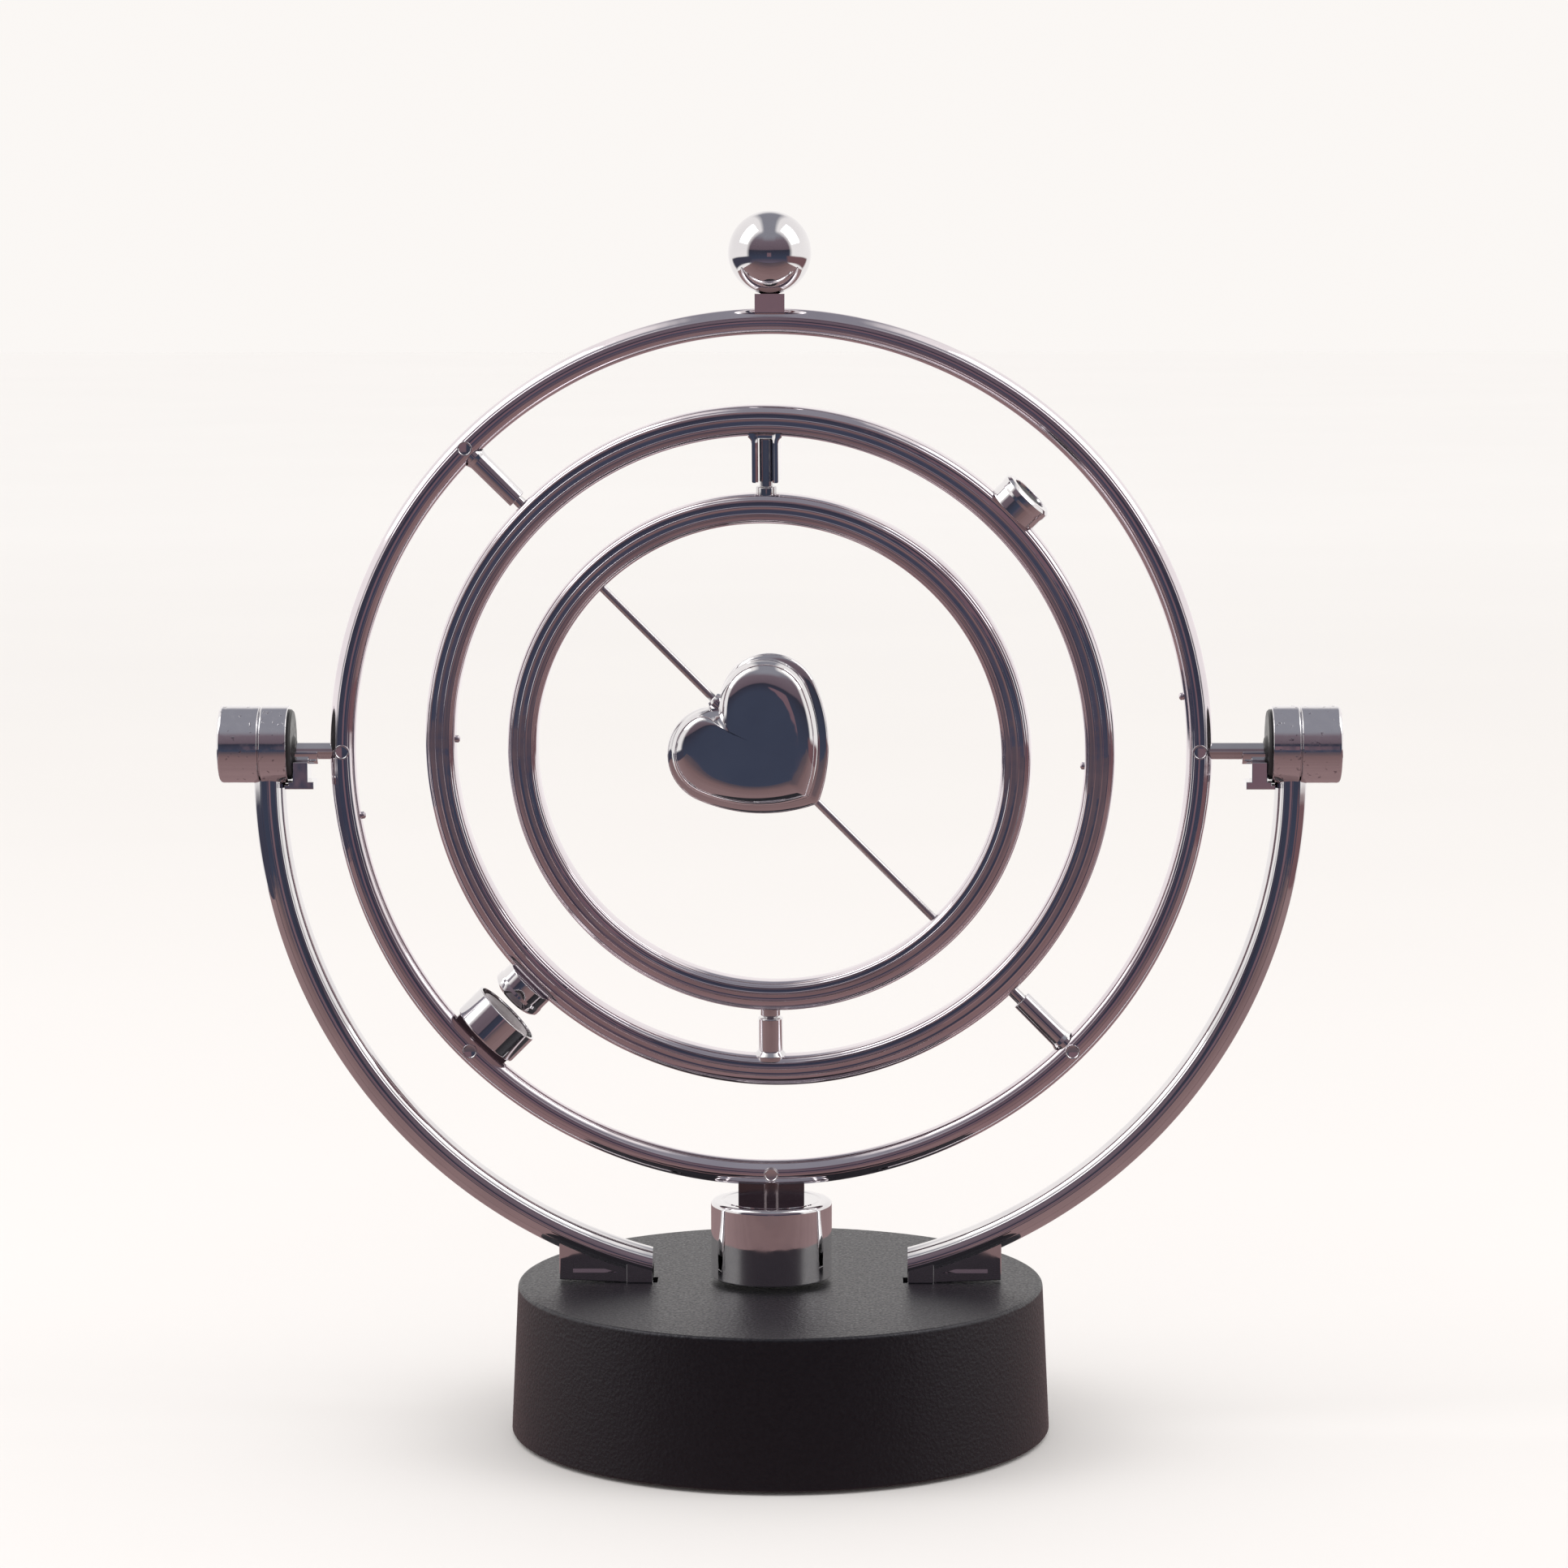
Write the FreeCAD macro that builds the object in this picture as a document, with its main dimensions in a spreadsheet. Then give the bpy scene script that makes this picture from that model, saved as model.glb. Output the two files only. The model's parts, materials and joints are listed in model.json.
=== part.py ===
import FreeCAD, Part
import math
import os
import Sketcher

# A desk toy in which three rings and a heart turn inside one another over a magnetic base.
# Frame: +X to the right, +Y to the back, +Z up; the origin is the middle of the underside.
# At rest the outer ring stands upright, the middle ring has turned a little about its slanting
# axle, and the inner ring has turned a little about its own.

Vector = FreeCAD.Vector
Rotation = FreeCAD.Rotation
Placement = FreeCAD.Placement

SIZES = {
    # round base
    "base_height": 29.9,
    "base_bottom_radius": 53.3,
    "base_top_radius": 51.9,
    "base_wall": 2.2,
    "base_top_thickness": 2.4,
    "base_edge_round": 0.8,
    "foot_height": 0.8,
    "foot_radius": 4.5,
    "foot_recess": 0.6,
    "foot_circle_radius": 43.0,
    "plate_thickness": 2.0,
    "plate_gap": 0.15,
    "column_radius": 3.0,
    "column_circle_radius": 45.5,
    "screw_radius": 1.15,
    "screw_length": 10.0,
    "screw_head_radius": 2.5,
    "screw_head_height": 1.2,
    "screw_slot_width": 0.7,
    "screw_slot_depth": 0.6,
    # battery compartment
    "cell_radius": 7.15,
    "cell_length": 49.2,
    "cell_nub_radius": 2.6,
    "cell_nub_height": 1.0,
    "cell_pitch": 14.7,
    "bay_length_x": 62.0,
    "bay_length_y": 58.4,
    "bay_height": 15.9,
    "bay_wall": 1.2,
    "door_length_x": 58.0,
    "door_length_y": 54.0,
    "door_thickness": 1.6,
    "door_gap": 0.3,
    "contact_thickness": 0.3,
    "contact_width": 9.0,
    "contact_height": 11.0,
    # coil, core and circuit board
    "coil_height": 7.2,
    "coil_flange": 0.8,
    "coil_radius": 16.0,
    "coil_winding_radius": 14.6,
    "coil_hub_radius": 5.4,
    "core_radius": 3.0,
    "board_length": 34.0,
    "board_width": 12.0,
    "board_thickness": 1.4,
    "board_y": 18.5,
    "board_hole_radius": 1.2,
    "board_hole_inset": 3.0,
    # arms and their feet
    "axis_height": 135.5,
    "arm_radius": 100.0,
    "arm_drop": 5.5,
    "arm_width": 6.3,
    "arm_depth": 6.4,
    "arm_bevel": 1.5,
    "arm_sweep": 79.0,
    "arm_end_x": 25.2,
    "foot_step_x": 30.4,
    "foot_outer_x": 43.7,
    "foot_depth": 5.0,
    "foot_step_depth": 6.2,
    "foot_lift": 0.6,
    "window_inner_x": 32.0,
    "window_outer_x": 41.0,
    "window_sill": 2.0,
    "window_height": 2.6,
    "window_depth": 1.8,
    "slot_overrun": 0.9,
    "tenon_depth": 5.2,
    "arm_screw_radius": 1.4,
    "arm_screw_length": 6.5,
    "arm_screw_head_radius": 4.2,
    "arm_screw_head_height": 1.4,
    # housings over the swing axle
    "housing_radius": 7.6,
    "housing_bore": 6.9,
    "housing_rise": 1.3,
    "housing_inner_x": 96.1,
    "housing_seam_x": 101.6,
    "housing_outer_x": 109.6,
    "housing_seam_gap": 0.2,
    "cap_end_thickness": 1.0,
    "cap_edge_round": 0.8,
    "spigot_length": 1.4,
    "spigot_wall": 0.5,
    "arm_slot_gap": 0.03,
    "disc_front_x": 95.3,
    "disc_back_x": 97.0,
    "hub_radius": 3.4,
    "hub_end_x": 103.4,
    "bush_radius": 2.4,
    "bush_front_x": 96.2,
    "bush_bore_end_x": 102.6,
    "axle_gap": 0.06,
    "disc_bore_gap": 0.1,
    # bracket under each axle
    "bracket_depth": 7.0,
    "block_inner_x": 92.2,
    "block_outer_x": 95.2,
    "block_top": 1.9,
    "plate_top": 5.75,
    "plate_bottom": 7.2,
    "plate_inner_x": 91.1,
    "plate_outer_x": 96.8,
    "plate_notch_top": 6.36,
    "cradle_inner_x": 90.4,
    "cradle_radius": 2.6,
    # outer ring and what it carries
    "ring_shift": -1.75,
    "outer_radius": 86.4,
    "outer_width": 5.1,
    "outer_depth": 5.0,
    "outer_bevel_across": 1.7,
    "outer_bevel_up": 1.5,
    "axle_radius": 1.65,
    "axle_length": 13.5,
    "axle_socket": 2.6,
    "boss_radius": 1.45,
    "boss_height": 0.3,
    "boss_socket": 0.5,
    "boss_recess_radius": 1.0,
    "boss_recess_depth": 0.15,
    "nub_radius": 0.7,
    "nub_length": 1.6,
    "ball_radius": 8.1,
    "ball_distance": 97.1,
    "stem_width": 5.8,
    "stem_depth": 4.6,
    "stem_height": 2.8,
    "peg_radius": 1.2,
    "peg_length": 5.0,
    "seat_depth": 0.8,
    "saddle_width": 13.0,
    "saddle_depth": 2.4,
    "saddle_pin_radius": 1.85,
    "weight_cup_top": 89.3,
    "weight_cup_bottom": 104.5,
    "weight_cup_radius": 11.95,
    "weight_cup_wall": 1.0,
    "weight_cup_round": 1.2,
    "magnet_recess": 0.5,
    "driver_cup_back": 79.9,
    "driver_cup_face": 73.5,
    "driver_cup_radius": 7.25,
    "driver_cup_wall": 1.1,
    "driver_cup_floor": 1.2,
    "rim_bevel": 0.35,
    "post_radius": 1.95,
    "post_flare_radius": 2.4,
    "post_flare_length": 1.1,
    "post_socket": 1.2,
    "post_end": 69.7,
    "post_bore_depth": 5.8,
    # middle ring and what it carries
    "mid_turn": 7.5,
    "mid_slide": 0.6,
    "mid_radius": 67.9,
    "mid_width": 6.0,
    "mid_depth": 5.4,
    "mid_bevel_across": 1.0,
    "mid_bevel_up": 0.8,
    "mid_pin_radius": 1.15,
    "mid_pin_tip": 74.6,
    "pin_socket": 2.5,
    "pin_gap": 0.06,
    "puck_face": 72.2,
    "puck_seat": 0.5,
    "puck_radius": 5.35,
    "puck_rim_radius": 5.5,
    "puck_rim_height": 1.2,
    "puck_recess_radius": 3.5,
    "puck_recess_depth": 2.4,
    "puck_magnet_inset": 0.4,
    "fork_width": 5.2,
    "fork_depth": 4.6,
    "fork_slot": 2.8,
    "fork_back": 0.85,
    "fork_end": 52.9,
    "tube_radius": 2.4,
    "tube_end": 54.2,
    "tube_bore_depth": 6.4,
    # inner ring and what it carries
    "inner_turn": -0.8,
    "inner_drop": 0.95,
    "inner_radius": 51.65,
    "inner_width": 5.95,
    "inner_depth": 5.4,
    "inner_pin_radius": 1.3,
    "inner_pin_top": 62.3,
    "inner_pin_bottom": 59.0,
    "collar_radius": 2.0,
    "collar_height": 0.9,
    # heart and its wire
    "heart_turn": -3.0,
    "lobe_radius": 9.8,
    "lobe_across": 7.4,
    "lobe_up": 7.4,
    "heart_side_radius": 31.5,
    "heart_tip": 13.4,
    "heart_centre": 7.0,
    "heart_half_depth": 5.8,
    "wire_radius": 0.8,
    "wire_gap": 0.06,
    "wire_socket": 2.0,
    "sleeve_radius": 1.8,
    "sleeve_length": 4.9,
    "sleeve_start": 10.5,
}

UPPER_RIGHT = 45.0
TOP = 90.0
UPPER_LEFT = 135.0
LEFT = 180.0
LOWER_LEFT = 225.0
BOTTOM = 270.0
LOWER_RIGHT = 315.0
RIGHT = 0.0

BOSS_ANGLES = (RIGHT, UPPER_LEFT, LEFT, LOWER_LEFT, BOTTOM, LOWER_RIGHT)
OUTER_NUB_ANGLES = (7.6, 189.0)
MID_NUB_ANGLES = (-2.3, 179.0)
COLUMN_ANGLES = (55.0, 125.0, 235.0, 305.0)
FOOT_ANGLES = (0.0, 90.0, 180.0, 270.0)
CELL_COUNT = 4
# how far out from the heart's parting face, and how large its outline is there
HEART_LEVELS = (
    (0.0, 1.0),
    (0.17, 1.0),
    (0.24, 0.915),
    (0.5, 0.9),
    (0.7, 0.85),
    (0.86, 0.77),
    (0.96, 0.69),
    (1.0, 0.6),
)

document = FreeCAD.newDocument("gimbal_ring_toy")
sheet = document.addObject("Spreadsheet::Sheet", "dim")
sub_parts = []


def fill_sheet():
    for row, (name, number) in enumerate(SIZES.items(), start=1):
        sheet.set(f"A{row}", name)
        sheet.set(f"B{row}", str(number))
        sheet.setAlias(f"B{row}", name)
    document.recompute()


def size(formula):
    """The value of a formula in the sheet's names."""
    return float(sheet.evalExpression(formula))


def bind(item, **formulas):
    for prop, formula in formulas.items():
        item.setExpression(prop, formula)


def keep(item, label, placement=Placement()):
    """Name an object as one of the toy's pieces and put it in its place."""
    item.Label = label
    item.Placement = placement
    sub_parts.append(item)
    return item


# ---- places ------------------------------------------------------------------------------


def turn(axis, degrees):
    return Placement(Vector(), Rotation(axis, degrees))


def move(x=0.0, y=0.0, z=0.0):
    return Placement(Vector(x, y, z), Rotation())


X_AXIS = Vector(1, 0, 0)
Y_AXIS = Vector(0, 1, 0)
Z_AXIS = Vector(0, 0, 1)
DIAGONAL = Vector(1, 0, -1)
UPPER_LEFT_WAY = Vector(-math.sqrt(0.5), 0, math.sqrt(0.5))
FLIP = turn(X_AXIS, 180)
FACING_FRONT = turn(X_AXIS, 90)


def spoke(frame, angle, distance=0.0, inward=False):
    """A place on a ring's spoke, with +Z along the spoke; angles run from +X towards +Z."""
    place = frame * turn(Y_AXIS, 90 - angle) * move(z=distance)
    return place * FLIP if inward else place


def ring_spoke(angle, distance, inward=False):
    """The same place in the frame in which a ring is spun, whose axis is +Z."""
    return FACING_FRONT.inverse() * spoke(Placement(), angle, distance, inward)


def round_base(angle, radius, height=0.0):
    """A place on a circle about the base's axis."""
    radians = math.radians(angle)
    return move(radius * math.cos(radians), radius * math.sin(radians), height)


# ---- features ----------------------------------------------------------------------------


def plane(body, role):
    return next(item for item in body.Origin.OriginFeatures if item.Role == role)


def new_sketch(body, name, role, offset=Placement()):
    sketch = body.newObject("Sketcher::SketchObject", name)
    sketch.AttachmentSupport = [(plane(body, role), "")]
    sketch.MapMode = "FlatFace"
    sketch.AttachmentOffset = offset
    return sketch


def place_point(sketch, geometry, point, across, up):
    """Fix one point of a sketch at two formulas."""
    for kind, formula in (("DistanceX", across), ("DistanceY", up)):
        constraint = Sketcher.Constraint(kind, -1, 1, geometry, point, size(formula))
        index = sketch.addConstraint(constraint)
        sketch.setExpression(f"Constraints[{index}]", formula)


def outline(sketch, corners):
    """A closed straight-sided outline through (across, up) pairs of formulas."""
    points = [Vector(size(across), size(up), 0) for across, up in corners]
    count = len(points)
    for index, start in enumerate(points):
        sketch.addGeometry(Part.LineSegment(start, points[(index + 1) % count]), False)
    for index in range(count):
        following = (index + 1) % count
        sketch.addConstraint(Sketcher.Constraint("Coincident", index, 2, following, 1))
    for index, (across, up) in enumerate(corners):
        place_point(sketch, index, 1, across, up)


def spin(body, sketch, name, angle="360"):
    feature = body.newObject("PartDesign::Revolution", name)
    feature.Profile = (sketch, [""])
    feature.ReferenceAxis = (sketch, ["V_Axis"])
    bind(feature, Angle=angle)
    return feature


def turned(label, corners, frame=None):
    """A piece turned about its own Z axis, from (radius, height) corners."""
    body = document.addObject("PartDesign::Body", label)
    sketch = new_sketch(body, label + "_outline", "XZ_Plane")
    outline(sketch, corners)
    spin(body, sketch, label + "_turn")
    return body if frame is None else keep(body, label, frame)


def pad(body, name, corners, role, length, offset=Placement(), symmetric=True):
    sketch = new_sketch(body, name + "_outline", role, offset)
    outline(sketch, corners)
    feature = body.newObject("PartDesign::Pad", name)
    feature.Profile = (sketch, [""])
    feature.SideType = "Symmetric" if symmetric else "One side"
    bind(feature, Length=length)
    return feature


def pocket_both_ways(body, name, corners, role, length, offset):
    """A pocket of the given depth each way from its sketch's plane."""
    sketch = new_sketch(body, name + "_outline", role, offset)
    outline(sketch, corners)
    feature = body.newObject("PartDesign::Pocket", name)
    feature.Profile = (sketch, [""])
    feature.SideType = "Symmetric"
    bind(feature, Length=f"2 * ({length})")
    return feature


def attach(body, feature, offset):
    feature.AttachmentSupport = [(plane(body, "XY_Plane"), "")]
    feature.MapMode = "FlatFace"
    feature.AttachmentOffset = offset
    return feature


def cylinder(body, kind, name, radius, height, offset=Placement()):
    """An added or cut cylinder; kind is Additive or Subtractive."""
    feature = attach(body, body.newObject(f"PartDesign::{kind}Cylinder", name), offset)
    bind(feature, Radius=radius, Height=height)
    return feature


def block(body, kind, name, length, width, height, offset=Placement()):
    """An added or cut box, centred on its place in X and Y and rising along Z."""
    centre = move(-size(length) / 2, -size(width) / 2)
    feature = attach(body, body.newObject(f"PartDesign::{kind}Box", name), offset * centre)
    bind(feature, Length=length, Width=width, Height=height)
    return feature


def round_edges(body, name, radius, chosen):
    """Fillet the edges of the body's last feature for which chosen(edge) is true."""
    document.recompute()
    base = body.Tip
    names = [f"Edge{n}" for n, edge in enumerate(base.Shape.Edges, start=1) if chosen(edge)]
    fillet = body.newObject("PartDesign::Fillet", name)
    fillet.Base = (base, names)
    bind(fillet, Radius=radius)
    return fillet


def circle_at(radius, height):
    """A test for a full circle of this radius at this height."""

    def chosen(edge):
        box = edge.BoundBox
        return abs(box.XMax - radius) < 0.01 and abs(box.ZMin - height) < 0.01 and box.ZLength < 0.01

    return chosen


def group(label, members):
    """Identical loose pieces kept as one node of separate solids."""
    compound = document.addObject("Part::Compound", label)
    compound.Links = members
    return keep(compound, label)


def octagon(centre, width, depth, bevel_across, bevel_up):
    """Corners of a bevelled bar's section, centred at a radius."""
    half_width, half_depth = f"({width}) / 2", f"({depth}) / 2"
    inner, outer = f"{centre} - {half_width}", f"{centre} + {half_width}"
    return [
        (f"{inner} + {bevel_across}", f"-{half_depth}"),
        (f"{outer} - {bevel_across}", f"-{half_depth}"),
        (outer, f"-{half_depth} + {bevel_up}"),
        (outer, f"{half_depth} - {bevel_up}"),
        (f"{outer} - {bevel_across}", half_depth),
        (f"{inner} + {bevel_across}", half_depth),
        (inner, f"{half_depth} - {bevel_up}"),
        (inner, f"-{half_depth} + {bevel_up}"),
    ]


# ---- the base ----------------------------------------------------------------------------


def base_shell():
    body = turned(
        "base_shell",
        [
            ("dim.base_bottom_radius - dim.base_wall", "dim.foot_height"),
            ("dim.base_bottom_radius", "dim.foot_height"),
            ("dim.base_top_radius", "dim.base_height"),
            ("0", "dim.base_height"),
            ("0", "dim.base_height - dim.base_top_thickness"),
            ("dim.base_top_radius - dim.base_wall", "dim.base_height - dim.base_top_thickness"),
        ],
    )
    rim = circle_at(size("dim.base_top_radius"), size("dim.base_height"))
    round_edges(body, "top_edge", "dim.base_edge_round", rim)
    ceiling = size("dim.base_height - dim.base_top_thickness")
    plate_top = size("dim.foot_height + dim.plate_thickness")
    column_height = "dim.base_height - dim.base_top_thickness - dim.foot_height - dim.plate_thickness"
    for angle in COLUMN_ANGLES:
        place = round_base(angle, size("dim.column_circle_radius"), plate_top)
        name = f"column_{angle:.0f}"
        cylinder(body, "Additive", name, "dim.column_radius", column_height, place)
        cylinder(body, "Subtractive", name + "_bore", "dim.screw_radius", "dim.screw_length", place)
    for side, word in ((1, "right"), (-1, "left")):
        middle = side * size("(dim.arm_end_x - dim.slot_overrun + dim.foot_step_x) / 2")
        block(
            body,
            "Subtractive",
            f"arm_slot_{word}",
            "dim.foot_step_x - dim.arm_end_x + dim.slot_overrun",
            "dim.tenon_depth",
            "dim.base_top_thickness",
            move(x=middle, z=ceiling),
        )
    keep(body, "base_shell")


def base_plate():
    radius = "dim.base_bottom_radius - dim.base_wall - dim.plate_gap"
    top = "dim.foot_height + dim.plate_thickness"
    bottom = "dim.foot_height"
    body = turned("base_plate", [("0", bottom), (radius, bottom), (radius, top), ("0", top)])
    underside = size("dim.foot_height")
    block(
        body,
        "Subtractive",
        "battery_opening",
        "dim.door_length_x + 2 * dim.door_gap",
        "dim.door_length_y + 2 * dim.door_gap",
        "dim.plate_thickness",
        move(z=underside),
    )
    for angle in COLUMN_ANGLES:
        place = round_base(angle, size("dim.column_circle_radius"), underside)
        head_gap = "dim.screw_head_radius + dim.plate_gap"
        shank_gap = "dim.screw_radius + dim.plate_gap"
        cylinder(body, "Subtractive", f"shank_hole_{angle:.0f}", shank_gap, "dim.plate_thickness", place)
        cylinder(body, "Subtractive", f"head_hole_{angle:.0f}", head_gap, "dim.screw_head_height", place)
    for angle in FOOT_ANGLES:
        place = round_base(angle, size("dim.foot_circle_radius"), underside)
        name = f"foot_recess_{angle:.0f}"
        cylinder(body, "Subtractive", name, "dim.foot_radius", "dim.foot_recess", place)
    keep(body, "base_plate")


def rubber_feet():
    feet = []
    thickness = "dim.foot_height + dim.foot_recess"
    for angle in FOOT_ANGLES:
        foot = turned(
            f"rubber_foot_{angle:.0f}",
            [
                ("0", "0"),
                ("dim.foot_radius - 0.3", "0"),
                ("dim.foot_radius", "0.3"),
                ("dim.foot_radius", thickness),
                ("0", thickness),
            ],
        )
        foot.Placement = round_base(angle, size("dim.foot_circle_radius"))
        feet.append(foot)
    group("rubber_feet", feet)


def slotted_screw(label, radius, length, head_radius, head_height):
    """A screw standing on its head, its slot cut up into the underside."""
    body = turned(
        label,
        [
            ("0", "0"),
            (head_radius, "0"),
            (head_radius, head_height),
            (radius, head_height),
            (radius, f"{head_height} + {length} - 0.6"),
            (f"{radius} - 0.6", f"{head_height} + {length}"),
            ("0", f"{head_height} + {length}"),
        ],
    )
    length = f"2 * {head_radius}"
    block(body, "Subtractive", label + "_slot", length, "dim.screw_slot_width", "dim.screw_slot_depth")
    return body


def base_screws():
    screws = []
    for angle in COLUMN_ANGLES:
        screw = slotted_screw(
            f"base_screw_{angle:.0f}",
            "dim.screw_radius",
            "dim.screw_length - dim.screw_head_height",
            "dim.screw_head_radius",
            "dim.screw_head_height",
        )
        screw.Placement = round_base(angle, size("dim.column_circle_radius"), size("dim.foot_height"))
        screws.append(screw)
    group("base_screws", screws)


def battery_bay():
    outer = document.addObject("Part::Box", "bay_outside")
    bind(outer, Length="dim.bay_length_x", Width="dim.bay_length_y", Height="dim.bay_height")
    outer.Placement = move(-size("dim.bay_length_x") / 2, -size("dim.bay_length_y") / 2)
    inner = document.addObject("Part::Box", "bay_inside")
    bind(
        inner,
        Length="dim.bay_length_x - 2 * dim.bay_wall",
        Width="dim.bay_length_y - 2 * dim.bay_wall",
        Height="dim.bay_height - dim.bay_wall",
    )
    wall = size("dim.bay_wall")
    inner.Placement = outer.Placement * move(wall, wall)
    bay = document.addObject("Part::Cut", "battery_bay")
    bay.Base = outer
    bay.Tool = inner
    keep(bay, "battery_bay", move(z=size("dim.foot_height + dim.plate_thickness")))


def battery_door():
    body = document.addObject("PartDesign::Body", "battery_door")
    length, width, thickness = "dim.door_length_x", "dim.door_length_y", "dim.door_thickness"
    block(body, "Additive", "door_panel", length, width, thickness)
    edge = size("dim.door_length_x") / 2
    for index in range(3):
        ridge = move(x=edge - 5.0 - 2.0 * index)
        block(body, "Subtractive", f"thumb_groove_{index}", "1.0", "14.0", "0.5", ridge)
    keep(body, "battery_door", move(z=size("dim.foot_height")))


def battery_cells():
    spacing = size("dim.cell_pitch")
    length = size("dim.cell_length + dim.cell_nub_height")
    level = size("dim.foot_height + dim.plate_thickness + dim.cell_radius + 0.1")
    for index in range(CELL_COUNT):
        towards_back = index % 2 == 0
        direction = -90 if towards_back else 90
        start = -length / 2 if towards_back else length / 2
        place = move((index - (CELL_COUNT - 1) / 2) * spacing, start, level) * turn(X_AXIS, direction)
        turned(
            f"battery_cell_{index + 1}",
            [
                ("0", "0"),
                ("dim.cell_radius - 0.5", "0"),
                ("dim.cell_radius", "0.5"),
                ("dim.cell_radius", "dim.cell_length - 0.5"),
                ("dim.cell_radius - 0.5", "dim.cell_length"),
                ("dim.cell_nub_radius", "dim.cell_length"),
                ("dim.cell_nub_radius", "dim.cell_length + dim.cell_nub_height"),
                ("0", "dim.cell_length + dim.cell_nub_height"),
            ],
            place,
        )


def battery_contacts():
    """A bent leaf at each end of each cell, pressing on it from the compartment's wall."""
    contacts = []
    reach = "(dim.bay_length_y - dim.cell_length - dim.cell_nub_height) / 2 - dim.bay_wall"
    level = size("dim.foot_height + dim.plate_thickness + dim.cell_radius - dim.contact_height / 2")
    wall = size("dim.bay_length_y / 2 - dim.bay_wall")
    for index in range(CELL_COUNT):
        for end in (1, -1):
            name = f"contact_{index + 1}_{'back' if end > 0 else 'front'}"
            body = document.addObject("PartDesign::Body", name)
            leaf = "dim.contact_thickness"
            pad(
                body,
                name + "_leaf",
                [
                    ("0", "0"),
                    (leaf, "0"),
                    (leaf, "dim.contact_height * 0.2"),
                    (reach, "dim.contact_height * 0.5"),
                    (leaf, "dim.contact_height * 0.8"),
                    (leaf, "dim.contact_height"),
                    ("0", "dim.contact_height"),
                    ("0", "dim.contact_height * 0.78"),
                    (f"{reach} - {leaf} * 1.3", "dim.contact_height * 0.5"),
                    ("0", "dim.contact_height * 0.22"),
                ],
                "XZ_Plane",
                "dim.contact_width",
            )
            across = (index - (CELL_COUNT - 1) / 2) * size("dim.cell_pitch")
            body.Placement = move(across, end * wall, level) * turn(Z_AXIS, -90 * end)
            contacts.append(body)
    group("battery_contacts", contacts)


def coil():
    height, flange = "dim.coil_height", "dim.coil_flange"
    place = move(z=size("dim.base_height - dim.base_top_thickness - dim.coil_height"))
    turned(
        "coil_bobbin",
        [
            ("dim.core_radius", "0"),
            ("dim.coil_radius", "0"),
            ("dim.coil_radius", flange),
            ("dim.coil_hub_radius", flange),
            ("dim.coil_hub_radius", f"{height} - {flange}"),
            ("dim.coil_radius", f"{height} - {flange}"),
            ("dim.coil_radius", height),
            ("dim.core_radius", height),
        ],
        place,
    )
    turned(
        "coil_winding",
        [
            ("dim.coil_hub_radius", flange),
            ("dim.coil_winding_radius", flange),
            ("dim.coil_winding_radius", f"{height} - {flange}"),
            ("dim.coil_hub_radius", f"{height} - {flange}"),
        ],
        place,
    )
    radius = "dim.core_radius"
    turned("coil_core", [("0", "0"), (radius, "0"), (radius, height), ("0", height)], place)


def circuit_board():
    body = document.addObject("PartDesign::Body", "circuit_board")
    block(body, "Additive", "board", "dim.board_length", "dim.board_width", "dim.board_thickness")
    for side in (1, -1):
        place = move(x=side * size("dim.board_length / 2 - dim.board_hole_inset"))
        name = f"board_hole_{'right' if side > 0 else 'left'}"
        cylinder(body, "Subtractive", name, "dim.board_hole_radius", "dim.board_thickness", place)
    roof = size("dim.foot_height + dim.plate_thickness + dim.bay_height")
    keep(body, "circuit_board", move(y=size("dim.board_y + dim.board_width / 2"), z=roof))


def board_components():
    """A transistor, a capacitor lying down and two resistors on the circuit board."""
    top = size("dim.foot_height + dim.plate_thickness + dim.bay_height + dim.board_thickness")
    middle = size("dim.board_y + dim.board_width / 2")
    can = document.addObject("Part::Cylinder", "transistor_can")
    can.Radius = 2.3
    can.Height = 4.2
    flat = document.addObject("Part::Box", "transistor_flat")
    flat.Length = 6.0
    flat.Width = 3.0
    flat.Height = 4.2
    flat.Placement = move(-3.0, 1.4)
    transistor = document.addObject("Part::Cut", "transistor")
    transistor.Base = can
    transistor.Tool = flat
    transistor.Placement = move(-8.5, middle, top)
    capacitor = document.addObject("Part::Cylinder", "capacitor")
    capacitor.Radius = 2.4
    capacitor.Height = 7.0
    capacitor.Placement = move(-3.0, middle, top + 2.4) * turn(Y_AXIS, 90)
    pieces = [transistor, capacitor]
    for index, offset in enumerate((-2.6, 2.6)):
        resistor = turned(
            f"resistor_{index + 1}",
            [
                ("0", "0"),
                ("1.1", "0"),
                ("1.1", "1.4"),
                ("0.9", "1.6"),
                ("0.9", "4.4"),
                ("1.1", "4.6"),
                ("1.1", "6"),
                ("0", "6"),
            ],
        )
        resistor.Placement = move(6.0, middle + offset, top + 1.1) * turn(Y_AXIS, 90)
        pieces.append(resistor)
    group("board_components", pieces)


# ---- arms and the housings over the swing axle ---------------------------------------------


def side_frame(side):
    """The axle's frame on one side, with +X outwards."""
    return move(z=size("dim.axis_height")) * turn(Z_AXIS, 0 if side > 0 else 180)


def along_x(frame, rise=0.0):
    return frame * move(z=rise) * turn(Y_AXIS, 90)


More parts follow.
